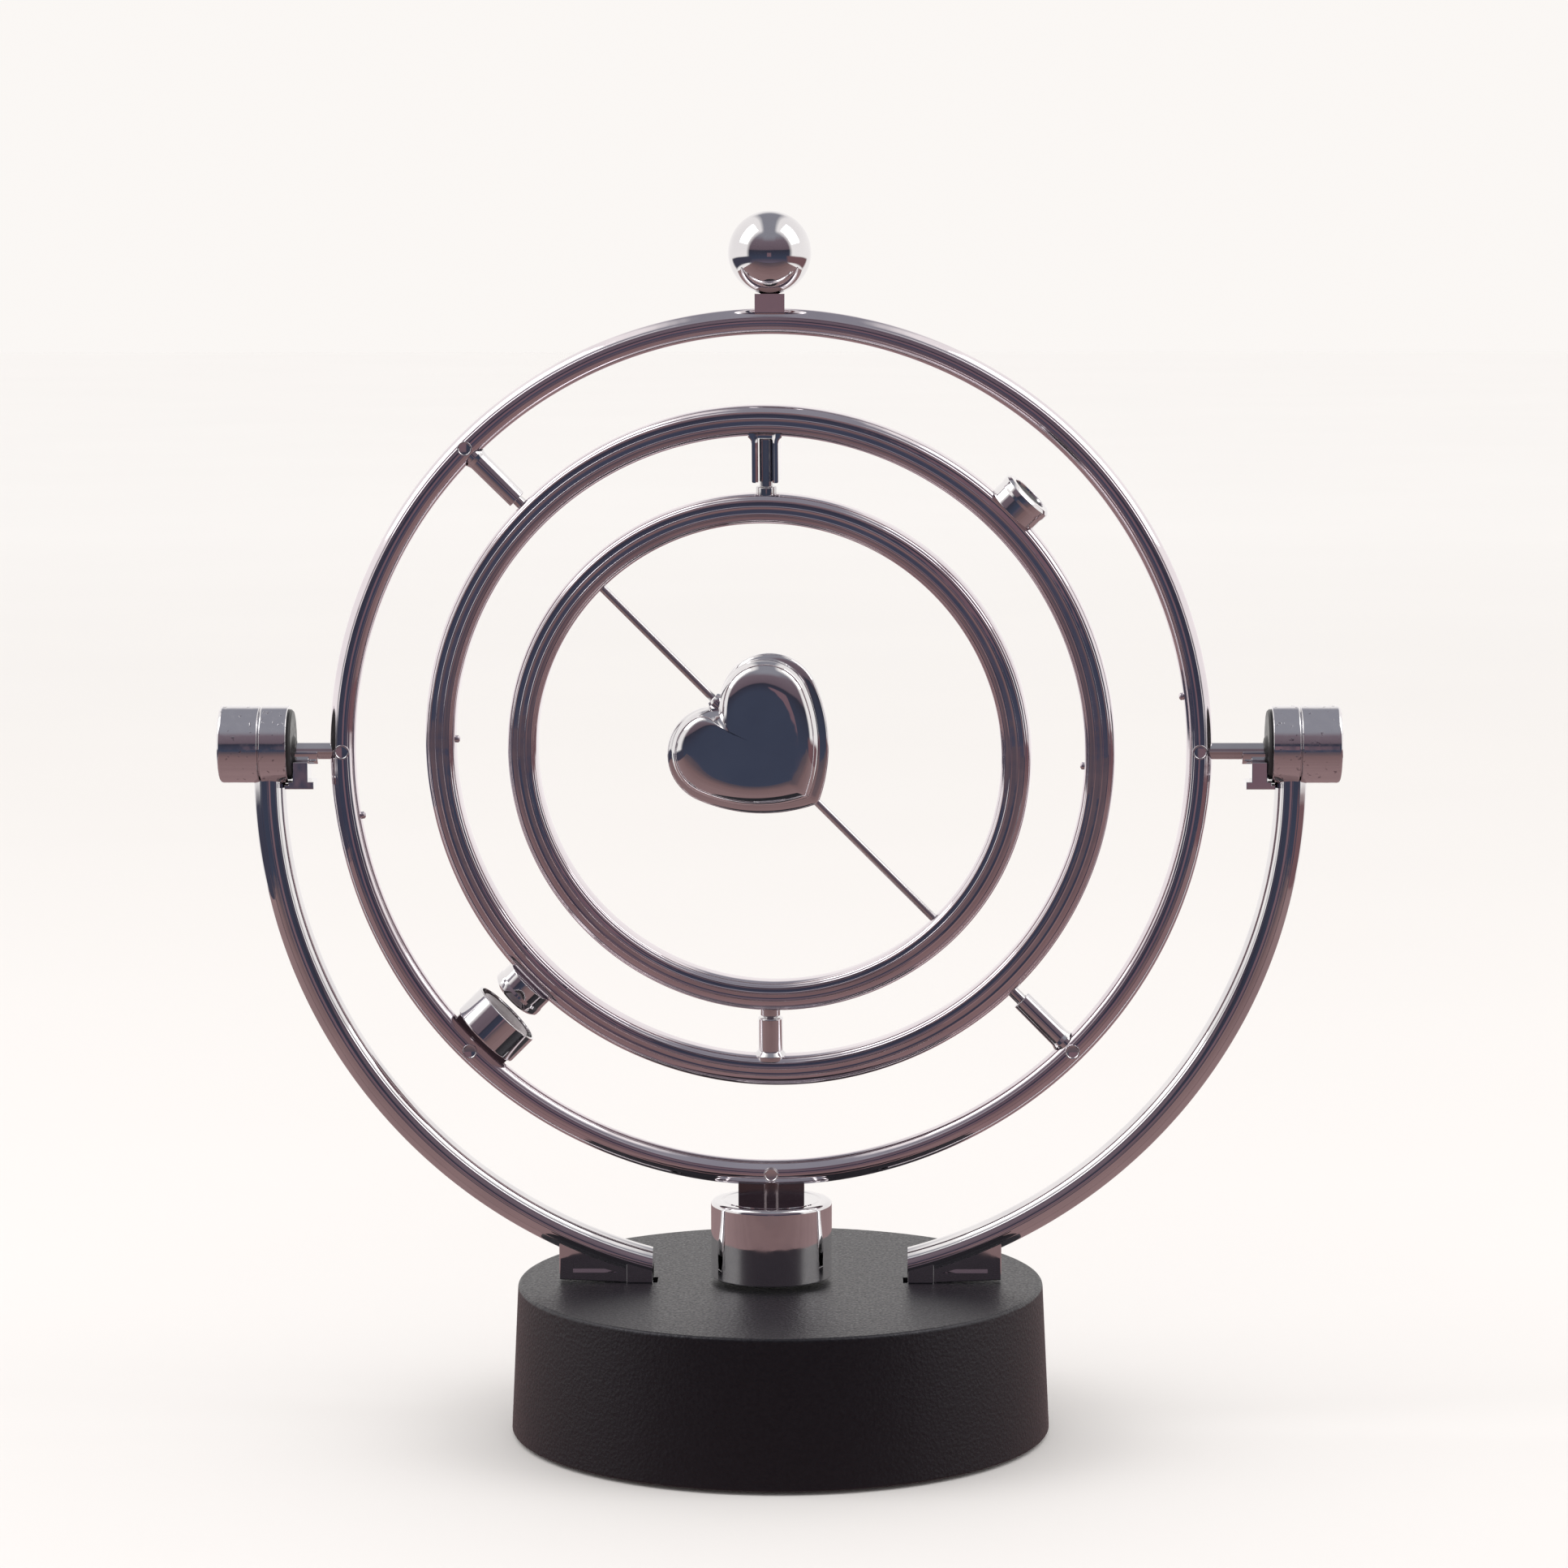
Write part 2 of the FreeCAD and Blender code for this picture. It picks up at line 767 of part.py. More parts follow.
def arm(label, frame):
    body = document.addObject("PartDesign::Body", label)
    sketch = new_sketch(body, label + "_section", "XY_Plane")
    bevel = "dim.arm_bevel"
    outline(sketch, octagon("dim.arm_radius", "dim.arm_width", "dim.arm_depth", bevel, bevel))
    spin(body, sketch, label + "_bow", "dim.arm_sweep")
    base_top = "-(dim.axis_height - dim.arm_drop - dim.base_height)"
    bow_at_outer = "-sqrt(dim.arm_radius ^ 2 - dim.foot_outer_x ^ 2)"
    bow_at_end = "-sqrt(dim.arm_radius ^ 2 - dim.arm_end_x ^ 2)"
    bow_at_step = "-sqrt(dim.arm_radius ^ 2 - dim.foot_step_x ^ 2)"
    pad(
        body,
        label + "_foot",
        [
            ("dim.arm_end_x", base_top),
            ("dim.foot_step_x", base_top),
            ("dim.foot_outer_x", f"{base_top} + dim.foot_lift"),
            ("dim.foot_outer_x", bow_at_outer),
            ("dim.arm_end_x", bow_at_end),
        ],
        "XZ_Plane",
        "dim.foot_depth",
    )
    pad(
        body,
        label + "_foot_end",
        [
            ("dim.arm_end_x", base_top),
            ("dim.foot_step_x", base_top),
            ("dim.foot_step_x", bow_at_step),
            ("dim.arm_end_x", bow_at_end),
        ],
        "XZ_Plane",
        "dim.foot_step_depth",
    )
    beyond = "dim.arm_end_x - 12"
    pocket_both_ways(
        body,
        label + "_end_trim",
        [
            (beyond, f"{base_top} - 5"),
            ("dim.arm_end_x", f"{base_top} - 5"),
            ("dim.arm_end_x", "-dim.arm_radius * 0.8"),
            (beyond, "-dim.arm_radius * 0.8"),
        ],
        "XZ_Plane",
        "dim.arm_depth",
        Placement(),
    )
    for face in (1, -1):
        pocket_both_ways(
            body,
            f"{label}_window_{'front' if face > 0 else 'back'}",
            [
                ("dim.window_inner_x", f"{base_top} + dim.window_sill"),
                ("dim.window_outer_x", f"{base_top} + dim.window_sill"),
                ("dim.window_outer_x", f"{base_top} + dim.window_sill + dim.window_height"),
            ],
            "XZ_Plane",
            "dim.window_depth",
            move(z=face * size("dim.foot_depth / 2")),
        )
    middle = size("(dim.arm_end_x + dim.foot_step_x) / 2")
    drop = size(base_top)
    thickness = size("dim.base_top_thickness")
    block(
        body,
        "Additive",
        label + "_tenon",
        "dim.foot_step_x - dim.arm_end_x",
        "dim.tenon_depth",
        "dim.base_top_thickness",
        move(middle, 0, drop - thickness),
    )
    bore_place = move(middle, 0, drop - thickness)
    depth = "dim.arm_screw_length + 0.3"
    cylinder(body, "Subtractive", label + "_bore", "dim.arm_screw_radius", depth, bore_place)
    keep(body, label, frame * move(z=-size("dim.arm_drop")))


def arm_screws():
    screws = []
    for side in (1, -1):
        screw = slotted_screw(
            f"arm_screw_{'right' if side > 0 else 'left'}",
            "dim.arm_screw_radius",
            "dim.arm_screw_length",
            "dim.arm_screw_head_radius",
            "dim.arm_screw_head_height",
        )
        across = side * size("(dim.arm_end_x + dim.foot_step_x) / 2")
        level = size("dim.base_height - dim.base_top_thickness - dim.arm_screw_head_height")
        screw.Placement = move(x=across, z=level)
        screws.append(screw)
    group("arm_screws", screws)


def cut_arm_slot(body, name):
    """The gap in a housing's underside through which the arm enters it."""
    depth = size("dim.housing_radius")
    top = size("dim.arm_drop + dim.housing_rise") - 0.9
    near_side = size("dim.arm_radius - dim.arm_width / 2 - dim.arm_slot_gap")
    block(
        body,
        "Subtractive",
        name,
        "dim.housing_radius",
        "dim.arm_depth + 2 * dim.arm_slot_gap",
        "dim.arm_width + 2 * dim.arm_slot_gap",
        move(x=top + depth / 2, z=near_side),
    )


def housing(word, frame):
    rise = size("dim.housing_rise")
    place = along_x(frame, rise)
    seam = "dim.housing_seam_x - dim.housing_seam_gap / 2"
    label = f"housing_{word}"
    body = turned(
        label,
        [
            ("dim.housing_bore", "dim.housing_inner_x"),
            ("dim.housing_radius - 0.15", "dim.housing_inner_x"),
            ("dim.housing_radius", "dim.housing_inner_x + 0.15"),
            ("dim.housing_radius", f"{seam} - 0.15"),
            ("dim.housing_radius - 0.15", seam),
            ("dim.housing_bore", seam),
        ],
    )
    cut_arm_slot(body, label + "_arm_slot")
    keep(body, label, place)
    label = f"housing_cap_{word}"
    spigot_outer = "dim.housing_bore - 0.02"
    spigot_inner = "dim.housing_bore - dim.spigot_wall"
    cap_start = "dim.housing_seam_x + dim.housing_seam_gap / 2"
    body = turned(
        label,
        [
            (spigot_inner, f"{cap_start} - dim.spigot_length"),
            (spigot_outer, f"{cap_start} - dim.spigot_length"),
            (spigot_outer, cap_start),
            ("dim.housing_radius - 0.15", cap_start),
            ("dim.housing_radius", f"{cap_start} + 0.15"),
            ("dim.housing_radius", "dim.housing_outer_x"),
            ("0", "dim.housing_outer_x"),
            ("0", "dim.housing_outer_x - dim.cap_end_thickness"),
            (spigot_inner, "dim.housing_outer_x - dim.cap_end_thickness"),
        ],
    )
    end = circle_at(size("dim.housing_radius"), size("dim.housing_outer_x"))
    round_edges(body, label + "_end_edge", "dim.cap_edge_round", end)
    cut_arm_slot(body, label + "_arm_slot")
    keep(body, label, place)


def bearing(word, frame):
    rise = size("dim.housing_rise")
    label = f"bearing_disc_{word}"
    rim = "dim.housing_bore - 0.03"
    body = turned(
        label,
        [
            ("0", "dim.disc_front_x"),
            (f"{rim} - 0.3", "dim.disc_front_x"),
            (rim, "dim.disc_front_x + 0.3"),
            (rim, "dim.disc_back_x"),
            ("0", "dim.disc_back_x"),
        ],
    )
    hub = move(x=rise, z=size("dim.disc_back_x"))
    cylinder(body, "Additive", label + "_hub", "dim.hub_radius", "dim.hub_end_x - dim.disc_back_x", hub)
    bush_place = move(x=rise, z=size("dim.bush_front_x"))
    length = "dim.hub_end_x - dim.bush_front_x"
    cylinder(body, "Subtractive", label + "_seat", "dim.bush_radius", length, bush_place)
    mouth = move(x=rise, z=size("dim.disc_front_x"))
    cylinder(body, "Subtractive", label + "_mouth", "dim.axle_radius + dim.disc_bore_gap", "2.0", mouth)
    keep(body, label, along_x(frame, rise))
    bore = "dim.axle_radius + dim.axle_gap"
    turned(
        f"bearing_bush_{word}",
        [
            (bore, "dim.bush_front_x"),
            ("dim.bush_radius", "dim.bush_front_x"),
            ("dim.bush_radius", "dim.hub_end_x"),
            ("0", "dim.hub_end_x"),
            ("0", "dim.bush_bore_end_x"),
            (bore, "dim.bush_bore_end_x"),
        ],
        along_x(frame),
    )


def bracket(word, frame):
    label = f"axle_bracket_{word}"
    body = document.addObject("PartDesign::Body", label)
    pad(
        body,
        label + "_block",
        [
            ("dim.block_inner_x", "-dim.block_top"),
            ("dim.block_outer_x", "-dim.block_top"),
            ("dim.block_outer_x", "-dim.plate_top"),
            ("dim.housing_inner_x - 0.05", "-dim.plate_top"),
            ("dim.housing_inner_x - 0.05", "-dim.plate_notch_top"),
            ("dim.plate_outer_x", "-dim.plate_notch_top"),
            ("dim.plate_outer_x", "-dim.plate_bottom"),
            ("dim.plate_inner_x", "-dim.plate_bottom"),
            ("dim.plate_inner_x", "-dim.plate_top"),
            ("dim.block_inner_x", "-dim.plate_top"),
        ],
        "XZ_Plane",
        "dim.bracket_depth",
    )
    start = move(x=size("dim.cradle_inner_x")) * turn(Y_AXIS, 90)
    length = "dim.block_outer_x - dim.cradle_inner_x"
    cylinder(body, "Additive", label + "_cradle", "dim.cradle_radius", length, start)
    upper = move(x=size("(dim.cradle_inner_x + dim.block_outer_x) / 2"))
    width = "2 * dim.cradle_radius + 1"
    block(body, "Subtractive", label + "_open_top", "10", width, "dim.cradle_radius + 1", upper)
    cylinder(body, "Subtractive", label + "_groove", "dim.axle_radius + dim.axle_gap", length, start)
    keep(body, label, frame)


# ---- rings -------------------------------------------------------------------------------


def ring(label, radius, width, depth, bevel_across, bevel_up):
    """A bevelled ring about its own Z axis."""
    body = document.addObject("PartDesign::Body", label)
    sketch = new_sketch(body, label + "_section", "XZ_Plane")
    outline(sketch, octagon(f"{radius} - {width} / 2", width, depth, bevel_across, bevel_up))
    spin(body, sketch, label + "_turn")
    return body


def round_socket(body, name, radius, depth, angle, distance, inward):
    """A round socket cut from a ring's outer face inwards, or its inner face outwards."""
    place = ring_spoke(angle, distance, inward)
    cylinder(body, "Subtractive", name, radius, depth, place)


def nub(body, name, angle, inner_radius):
    """The stub of a moulding gate on a ring's inner face."""
    place = ring_spoke(angle, inner_radius + size("dim.nub_length") / 2, inward=True)
    cylinder(body, "Additive", name, "dim.nub_radius", "dim.nub_length", place)


def outer_ring(frame):
    label = "outer_ring"
    radius, width = "dim.outer_radius", "dim.outer_width"
    body = ring(label, radius, width, "dim.outer_depth", "dim.outer_bevel_across", "dim.outer_bevel_up")
    outside, inside = size(radius), size(f"{radius} - {width}")
    for index, angle in enumerate(OUTER_NUB_ANGLES):
        nub(body, f"outer_nub_{index}", angle, inside)
    for angle in (RIGHT, LEFT):
        name = f"axle_socket_{angle:.0f}"
        round_socket(body, name, "dim.axle_radius", "dim.axle_socket + 1", angle, outside + 1, True)
    for angle in (UPPER_LEFT, LOWER_RIGHT):
        name = f"post_socket_{angle:.0f}"
        round_socket(body, name, "dim.post_radius", "dim.post_socket + 1", angle, inside - 1, False)
        flare_start = inside - size("dim.post_flare_length")
        flare = "dim.post_flare_length + 0.15"
        name = f"flare_seat_{angle:.0f}"
        round_socket(body, name, "dim.post_flare_radius", flare, angle, flare_start, False)
    seat = "dim.seat_depth + 1"
    seats = (
        ("finial_seat", "dim.stem_width", "dim.stem_depth", TOP, outside + 1, True),
        ("weight_seat", "dim.saddle_width", "dim.saddle_depth", BOTTOM, outside + 1, True),
        ("driver_seat", "dim.saddle_width", "dim.saddle_depth", LOWER_LEFT, inside - 1, False),
    )
    for name, length, depth, angle, distance, inward in seats:
        block(body, "Subtractive", name, length, depth, seat, ring_spoke(angle, distance, inward))
    pin_place = ring_spoke(BOTTOM, outside + 1, True)
    cylinder(body, "Subtractive", "weight_pin_seat", "dim.saddle_pin_radius", seat, pin_place)
    middle = size(f"{radius} - {width} / 2")
    front = size("dim.outer_depth / 2 - dim.boss_socket")
    for angle in BOSS_ANGLES:
        place = round_base(angle, middle, front)
        cylinder(body, "Subtractive", f"boss_seat_{angle:.0f}", "dim.boss_radius", "dim.boss_socket", place)
    keep(body, label, frame * FACING_FRONT)


def front_bosses(frame):
    """The round heads that show on the outer ring's front where something is fixed to it."""
    bosses = []
    height = "dim.boss_socket + dim.boss_height"
    middle = size("dim.outer_radius - dim.outer_width / 2")
    front = size("dim.outer_depth / 2 - dim.boss_socket")
    for angle in BOSS_ANGLES:
        boss = turned(
            f"boss_{angle:.0f}",
            [
                ("0", "0"),
                ("dim.boss_radius", "0"),
                ("dim.boss_radius", height),
                ("dim.boss_recess_radius", height),
                ("dim.boss_recess_radius", f"{height} - dim.boss_recess_depth"),
                ("0", f"{height} - dim.boss_recess_depth"),
            ],
        )
        boss.Placement = frame * FACING_FRONT * round_base(angle, middle, front)
        bosses.append(boss)
    group("ring_bosses", bosses)


def axles(frame):
    length = "dim.axle_socket + dim.axle_length"
    for angle, word in ((RIGHT, "right"), (LEFT, "left")):
        turned(
            f"axle_{word}",
            [
                ("0", "0"),
                ("dim.axle_radius", "0"),
                ("dim.axle_radius", f"{length} - 0.4"),
                ("dim.axle_radius - 0.4", length),
                ("0", length),
            ],
            spoke(frame, angle, size("dim.outer_radius - dim.axle_socket")),
        )


def finial(frame):
    label = "finial_stem"
    body = document.addObject("PartDesign::Body", label)
    height = "dim.seat_depth + dim.stem_height"
    block(body, "Additive", "stem_block", "dim.stem_width", "dim.stem_depth", height)
    cylinder(body, "Additive", "stem_peg", "dim.peg_radius", f"{height} + dim.peg_length")
    start = size("dim.outer_radius - dim.seat_depth")
    seat = attach(
        body,
        body.newObject("PartDesign::SubtractiveSphere", "ball_seat"),
        move(z=size("dim.ball_distance") - start),
    )
    bind(seat, Radius="dim.ball_radius")
    cylinder(body, "Additive", "stem_peg_top", "dim.peg_radius", f"{height} + dim.peg_length")
    keep(body, label, spoke(frame, TOP, start))
    ball = document.addObject("PartDesign::Body", "finial_ball")
    sphere = attach(ball, ball.newObject("PartDesign::AdditiveSphere", "ball"), Placement())
    bind(sphere, Radius="dim.ball_radius")
    bottom = move(z=-size("dim.ball_radius") - 1)
    cylinder(ball, "Subtractive", "ball_bore", "dim.peg_radius", "dim.peg_length + 2", bottom)
    keep(ball, "finial_ball", spoke(frame, TOP, size("dim.ball_distance")))


def weight(frame):
    """The bottom saddle, the large cup and the magnet that the coil pushes."""
    label = "weight_saddle"
    body = document.addObject("PartDesign::Body", label)
    height = "dim.weight_cup_top - dim.outer_radius + dim.seat_depth"
    block(body, "Additive", "weight_web", "dim.saddle_width", "dim.saddle_depth", height)
    cylinder(body, "Additive", "weight_pin", "dim.saddle_pin_radius", f"{height} + dim.weight_cup_wall")
    keep(body, label, spoke(frame, BOTTOM, size("dim.outer_radius - dim.seat_depth")))
    length = "dim.weight_cup_bottom - dim.weight_cup_top"
    radius, wall = "dim.weight_cup_radius", "dim.weight_cup_wall"
    cup = turned(
        "weight_cup",
        [
            ("dim.saddle_pin_radius", "0"),
            (radius, "0"),
            (radius, length),
            (f"{radius} - {wall}", length),
            (f"{radius} - {wall}", wall),
            ("dim.saddle_pin_radius", wall),
        ],
    )
    round_edges(cup, "cup_top_edge", "dim.weight_cup_round - 0.3", circle_at(size(radius), 0.0))
    place = spoke(frame, BOTTOM, size("dim.weight_cup_top"))
    keep(cup, "weight_cup", place)
    top = f"{wall} + 0.05"
    bottom = f"{length} - dim.magnet_recess"
    magnet_radius = f"{radius} - {wall} - 0.03"
    turned(
        "weight_magnet",
        [("0", top), (magnet_radius, top), (magnet_radius, bottom), ("0", bottom)],
        place,
    )


def driver(frame):
    """The saddle, cup and magnet inside the outer ring that flick the middle ring round."""
    label = "driver_saddle"
    body = document.addObject("PartDesign::Body", label)
    height = "dim.outer_radius - dim.outer_width + dim.seat_depth - dim.driver_cup_back"
    block(body, "Additive", "driver_web", "dim.saddle_width", "dim.saddle_depth", height)
    start = size("dim.outer_radius - dim.outer_width + dim.seat_depth")
    keep(body, label, spoke(frame, LOWER_LEFT, start, inward=True))
    length = "dim.driver_cup_back - dim.driver_cup_face"
    radius, wall = "dim.driver_cup_radius", "dim.driver_cup_wall"
    floor = "dim.driver_cup_floor"
    bevel = "dim.rim_bevel"
    place = spoke(frame, LOWER_LEFT, size("dim.driver_cup_back"), inward=True)
    turned(
        "driver_cup",
        [
            ("0", "0"),
            (f"{radius} - 0.5", "0"),
            (radius, "0.5"),
            (radius, f"{length} - {bevel}"),
            (f"{radius} - {bevel}", length),
            (f"{radius} - {wall}", length),
            (f"{radius} - {wall}", floor),
            ("0", floor),
        ],
        place,
    )
    face = f"{length} - dim.magnet_recess"
    magnet_radius = f"{radius} - {wall} - 0.03"
    turned(
        "driver_magnet",
        [("0", f"{floor} + 0.05"), (magnet_radius, f"{floor} + 0.05"), (magnet_radius, face), ("0", face)],
        place,
    )


def pivot_posts(frame):
    """The two hollow posts on the outer ring in which the middle ring's pins turn."""
    start = "dim.outer_radius - dim.outer_width + dim.post_socket"
    length = f"{start} - dim.post_end"
    bore = "dim.mid_pin_radius + dim.pin_gap"
    flare_start = "dim.post_socket - 0.1"
    for angle, word in ((UPPER_LEFT, "upper"), (LOWER_RIGHT, "lower")):
        turned(
            f"pivot_post_{word}",
            [
                ("0", "0"),
                ("dim.post_radius", "0"),
                ("dim.post_radius", flare_start),
                ("dim.post_flare_radius", flare_start),
                ("dim.post_radius", f"{flare_start} + dim.post_flare_length"),
                ("dim.post_radius", length),
                (bore, length),
                (bore, f"{length} - dim.post_bore_depth"),
                ("0", f"{length} - dim.post_bore_depth"),
            ],
            spoke(frame, angle, size(start), inward=True),
        )


def mid_ring(frame):
    label = "mid_ring"
    radius, width = "dim.mid_radius", "dim.mid_width"
    body = ring(label, radius, width, "dim.mid_depth", "dim.mid_bevel_across", "dim.mid_bevel_up")
    outside, inside = size(radius), size(f"{radius} - {width}")
    for index, angle in enumerate(MID_NUB_ANGLES):
        nub(body, f"mid_nub_{index}", angle, inside)
    for angle in (UPPER_LEFT, LOWER_RIGHT):
        name = f"pin_socket_{angle:.0f}"
        round_socket(body, name, "dim.mid_pin_radius", "dim.pin_socket + 1", angle, outside + 1, True)
    for angle in (UPPER_RIGHT, LOWER_LEFT):
        name = f"puck_seat_{angle:.0f}"
        round_socket(body, name, "dim.puck_radius", "dim.puck_seat + 1", angle, outside + 1, True)
    fork_place = ring_spoke(TOP, inside - 1)
    depth = "dim.seat_depth + 1"
    block(body, "Subtractive", "fork_seat", "dim.fork_width", "dim.fork_depth", depth, fork_place)
    round_socket(body, "tube_seat", "dim.tube_radius", "dim.seat_depth + 1", BOTTOM, inside - 1, False)
    keep(body, label, frame * FACING_FRONT)


def mid_pins(frame):
    pins = []
    start = "dim.mid_radius - dim.pin_socket"
    length = f"dim.mid_pin_tip - ({start})"
    for angle, word in ((UPPER_LEFT, "upper"), (LOWER_RIGHT, "lower")):
        pin = turned(
            f"mid_pin_{word}",
            [
                ("0", "0"),
                ("dim.mid_pin_radius", "0"),
                ("dim.mid_pin_radius", f"{length} - 0.3"),
                ("dim.mid_pin_radius - 0.3", length),
                ("0", length),
            ],
        )
        pin.Placement = spoke(frame, angle, size(start))
        pins.append(pin)
    group("mid_pivot_pins", pins)


def pucks(frame):
    """The two small magnet cups on the middle ring, a little wider at the rim, and their magnets."""
    length = "dim.puck_face - dim.mid_radius + dim.puck_seat"
    recess_floor = f"{length} - dim.puck_recess_depth"
    rim_start = f"{length} - dim.puck_rim_height"
    face = f"{length} - dim.puck_magnet_inset"
    magnet_radius = "dim.puck_recess_radius - 0.03"
    for angle, word in ((UPPER_RIGHT, "upper"), (LOWER_LEFT, "lower")):
        place = spoke(frame, angle, size("dim.mid_radius - dim.puck_seat"))
        turned(
            f"magnet_cup_{word}",
            [
                ("0", "0"),
                ("dim.puck_radius", "0"),
                ("dim.puck_radius", f"{rim_start} - 0.6"),
                ("dim.puck_rim_radius", rim_start),
                ("dim.puck_rim_radius", f"{length} - 0.4"),
                ("dim.puck_rim_radius - 0.8", length),
                ("dim.puck_recess_radius", length),
                ("dim.puck_recess_radius", recess_floor),
                ("0", recess_floor),
            ],
            place,
        )
        bottom = f"{recess_floor} + 0.05"
        turned(
            f"ring_magnet_{word}",
            [("0", bottom), (magnet_radius, bottom), (magnet_radius, face), ("0", face)],
            place,
        )


def fork_post(frame):
    """The channel-shaped upper post, open to the front, in which the inner ring's pin turns."""
    body = document.addObject("PartDesign::Body", "fork_post")
    half, slot, back = "dim.fork_width / 2", "dim.fork_slot / 2", "-dim.fork_depth / 2"
    front, slot_floor = "dim.fork_depth / 2", "-dim.fork_depth / 2 + dim.fork_back"
    start = "dim.mid_radius - dim.mid_width + dim.seat_depth"
    pad(
        body,
        "fork_channel",
        [
            (f"-{half}", back),
            (half, back),
            (half, front),
            (slot, front),
            (slot, slot_floor),
            (f"-{slot}", slot_floor),
            (f"-{slot}", front),
            (f"-{half}", front),
        ],
        "XY_Plane",
        f"{start} - dim.fork_end",
        symmetric=False,
    )
    keep(body, "fork_post", spoke(frame, TOP, size(start), inward=True))


def tube_post(frame):
    start = "dim.mid_radius - dim.mid_width + dim.seat_depth"
    length = f"{start} - dim.tube_end"
    bore = "dim.inner_pin_radius + dim.pin_gap"
    turned(
        "tube_post",
        [
            ("0", "0"),
            ("dim.tube_radius", "0"),
            ("dim.tube_radius", f"{length} - 0.25"),
            ("dim.tube_radius - 0.25", length),
            (bore, length),
            (bore, f"{length} - dim.tube_bore_depth"),
            ("0", f"{length} - dim.tube_bore_depth"),
        ],
        spoke(frame, BOTTOM, size(start), inward=True),
    )


def inner_ring(frame):
    label = "inner_ring"
    radius, width = "dim.inner_radius", "dim.inner_width"
    body = ring(label, radius, width, "dim.inner_depth", "dim.mid_bevel_across", "dim.mid_bevel_up")
    outside, inside = size(radius), size(f"{radius} - {width}")
    for angle in (TOP, BOTTOM):
        name = f"inner_pin_socket_{angle:.0f}"
        round_socket(body, name, "dim.inner_pin_radius", "dim.pin_socket + 1", angle, outside + 1, True)
        collar = f"collar_seat_{angle:.0f}"
        round_socket(body, collar, "dim.collar_radius", "dim.seat_depth + 1", angle, outside + 1, True)
    for angle in (UPPER_LEFT, LOWER_RIGHT):
        name = f"wire_socket_{angle:.0f}"
        bore = "dim.wire_radius + dim.wire_gap"
        round_socket(body, name, bore, "dim.wire_socket + 1.1", angle, inside - 1, False)
    keep(body, label, frame * FACING_FRONT)


def inner_pins(frame):
    pins = []
    collar_start = "dim.pin_socket - dim.seat_depth"
    collar_end = "dim.pin_socket + dim.collar_height"
    for angle, word, tip in ((TOP, "top", "dim.inner_pin_top"), (BOTTOM, "bottom", "dim.inner_pin_bottom")):
        length = f"{tip} - dim.inner_radius + dim.pin_socket"
        pin = turned(
            f"inner_pin_{word}",
            [
                ("0", "0"),
                ("dim.inner_pin_radius", "0"),
                ("dim.inner_pin_radius", collar_start),
                ("dim.collar_radius", collar_start),
                ("dim.collar_radius", f"{collar_end} - 0.4"),
                ("dim.collar_radius - 0.4", collar_end),
                ("dim.inner_pin_radius", collar_end),
                ("dim.inner_pin_radius", f"{length} - 0.3"),
                ("dim.inner_pin_radius - 0.3", length),
                ("0", length),
            ],
        )
        pin.Placement = spoke(frame, angle, size("dim.inner_radius - dim.pin_socket"))
        pins.append(pin)
    group("inner_pivot_pins", pins)


# ---- heart -------------------------------------------------------------------------------


def heart_outline(sketch, share):
    """A heart of two round lobes and two gently curved sides, at a share of its full size."""
    middle = size("dim.heart_centre")
    radius, side_radius = share * size("dim.lobe_radius"), share * size("dim.heart_side_radius")
    lobe = Vector(share * size("dim.lobe_across"), middle + share * (size("dim.lobe_up") - middle), 0)
    tip = Vector(0, middle - share * (size("dim.heart_tip") + middle), 0)
    # the side's centre is one radius from the tip and touches the lobe from outside it
    reach = tip - lobe
    along = ((side_radius - radius) ** 2 - side_radius**2 + reach.Length**2) / (2 * reach.Length)
    across = math.sqrt((side_radius - radius) ** 2 - along**2)
    reach.normalize()
    side_centre = lobe + along * reach + across * Vector(reach.y, -reach.x, 0)
    shoulder = lobe + (lobe - side_centre).normalize() * radius
    side_start = math.atan2(tip.y - side_centre.y, tip.x - side_centre.x)
    meeting = math.atan2(shoulder.y - side_centre.y, shoulder.x - side_centre.x)
    opening = math.acos(-lobe.x / radius)
    arcs = []
    for mirror in (1, -1):
        spans = [(lobe, radius, meeting, opening), (side_centre, side_radius, side_start, meeting)]
        for centre, length, start, end in spans:
            if mirror < 0:
                start, end = math.pi - end, math.pi - start
            circle = Part.Circle(Vector(mirror * centre.x, centre.y, 0), Z_AXIS, length)
            arcs.append(sketch.addGeometry(Part.ArcOfCircle(circle, start, end), False))
    right_lobe, right_side, left_lobe, left_side = arcs
    sketch.addConstraint(Sketcher.Constraint("Tangent", right_side, 2, right_lobe, 1))
    sketch.addConstraint(Sketcher.Constraint("Tangent", left_lobe, 2, left_side, 1))
    sketch.addConstraint(Sketcher.Constraint("Coincident", right_lobe, 2, left_lobe, 1))
    sketch.addConstraint(Sketcher.Constraint("Coincident", right_side, 1, left_side, 2))
    up = f"dim.heart_centre + {share} * (dim.lobe_up - dim.heart_centre)"
    place_point(sketch, right_lobe, 3, f"{share} * dim.lobe_across", up)
    place_point(sketch, left_lobe, 3, f"-{share} * dim.lobe_across", up)
    tip = f"dim.heart_centre - {share} * (dim.heart_tip + dim.heart_centre)"
    place_point(sketch, right_side, 1, "0", tip)
    for arc, name in zip(arcs, ("lobe_radius", "heart_side_radius") * 2):
        index = sketch.addConstraint(Sketcher.Constraint("Radius", arc, share * size(f"dim.{name}")))
        sketch.setExpression(f"Constraints[{index}]", f"{share} * dim.{name}")


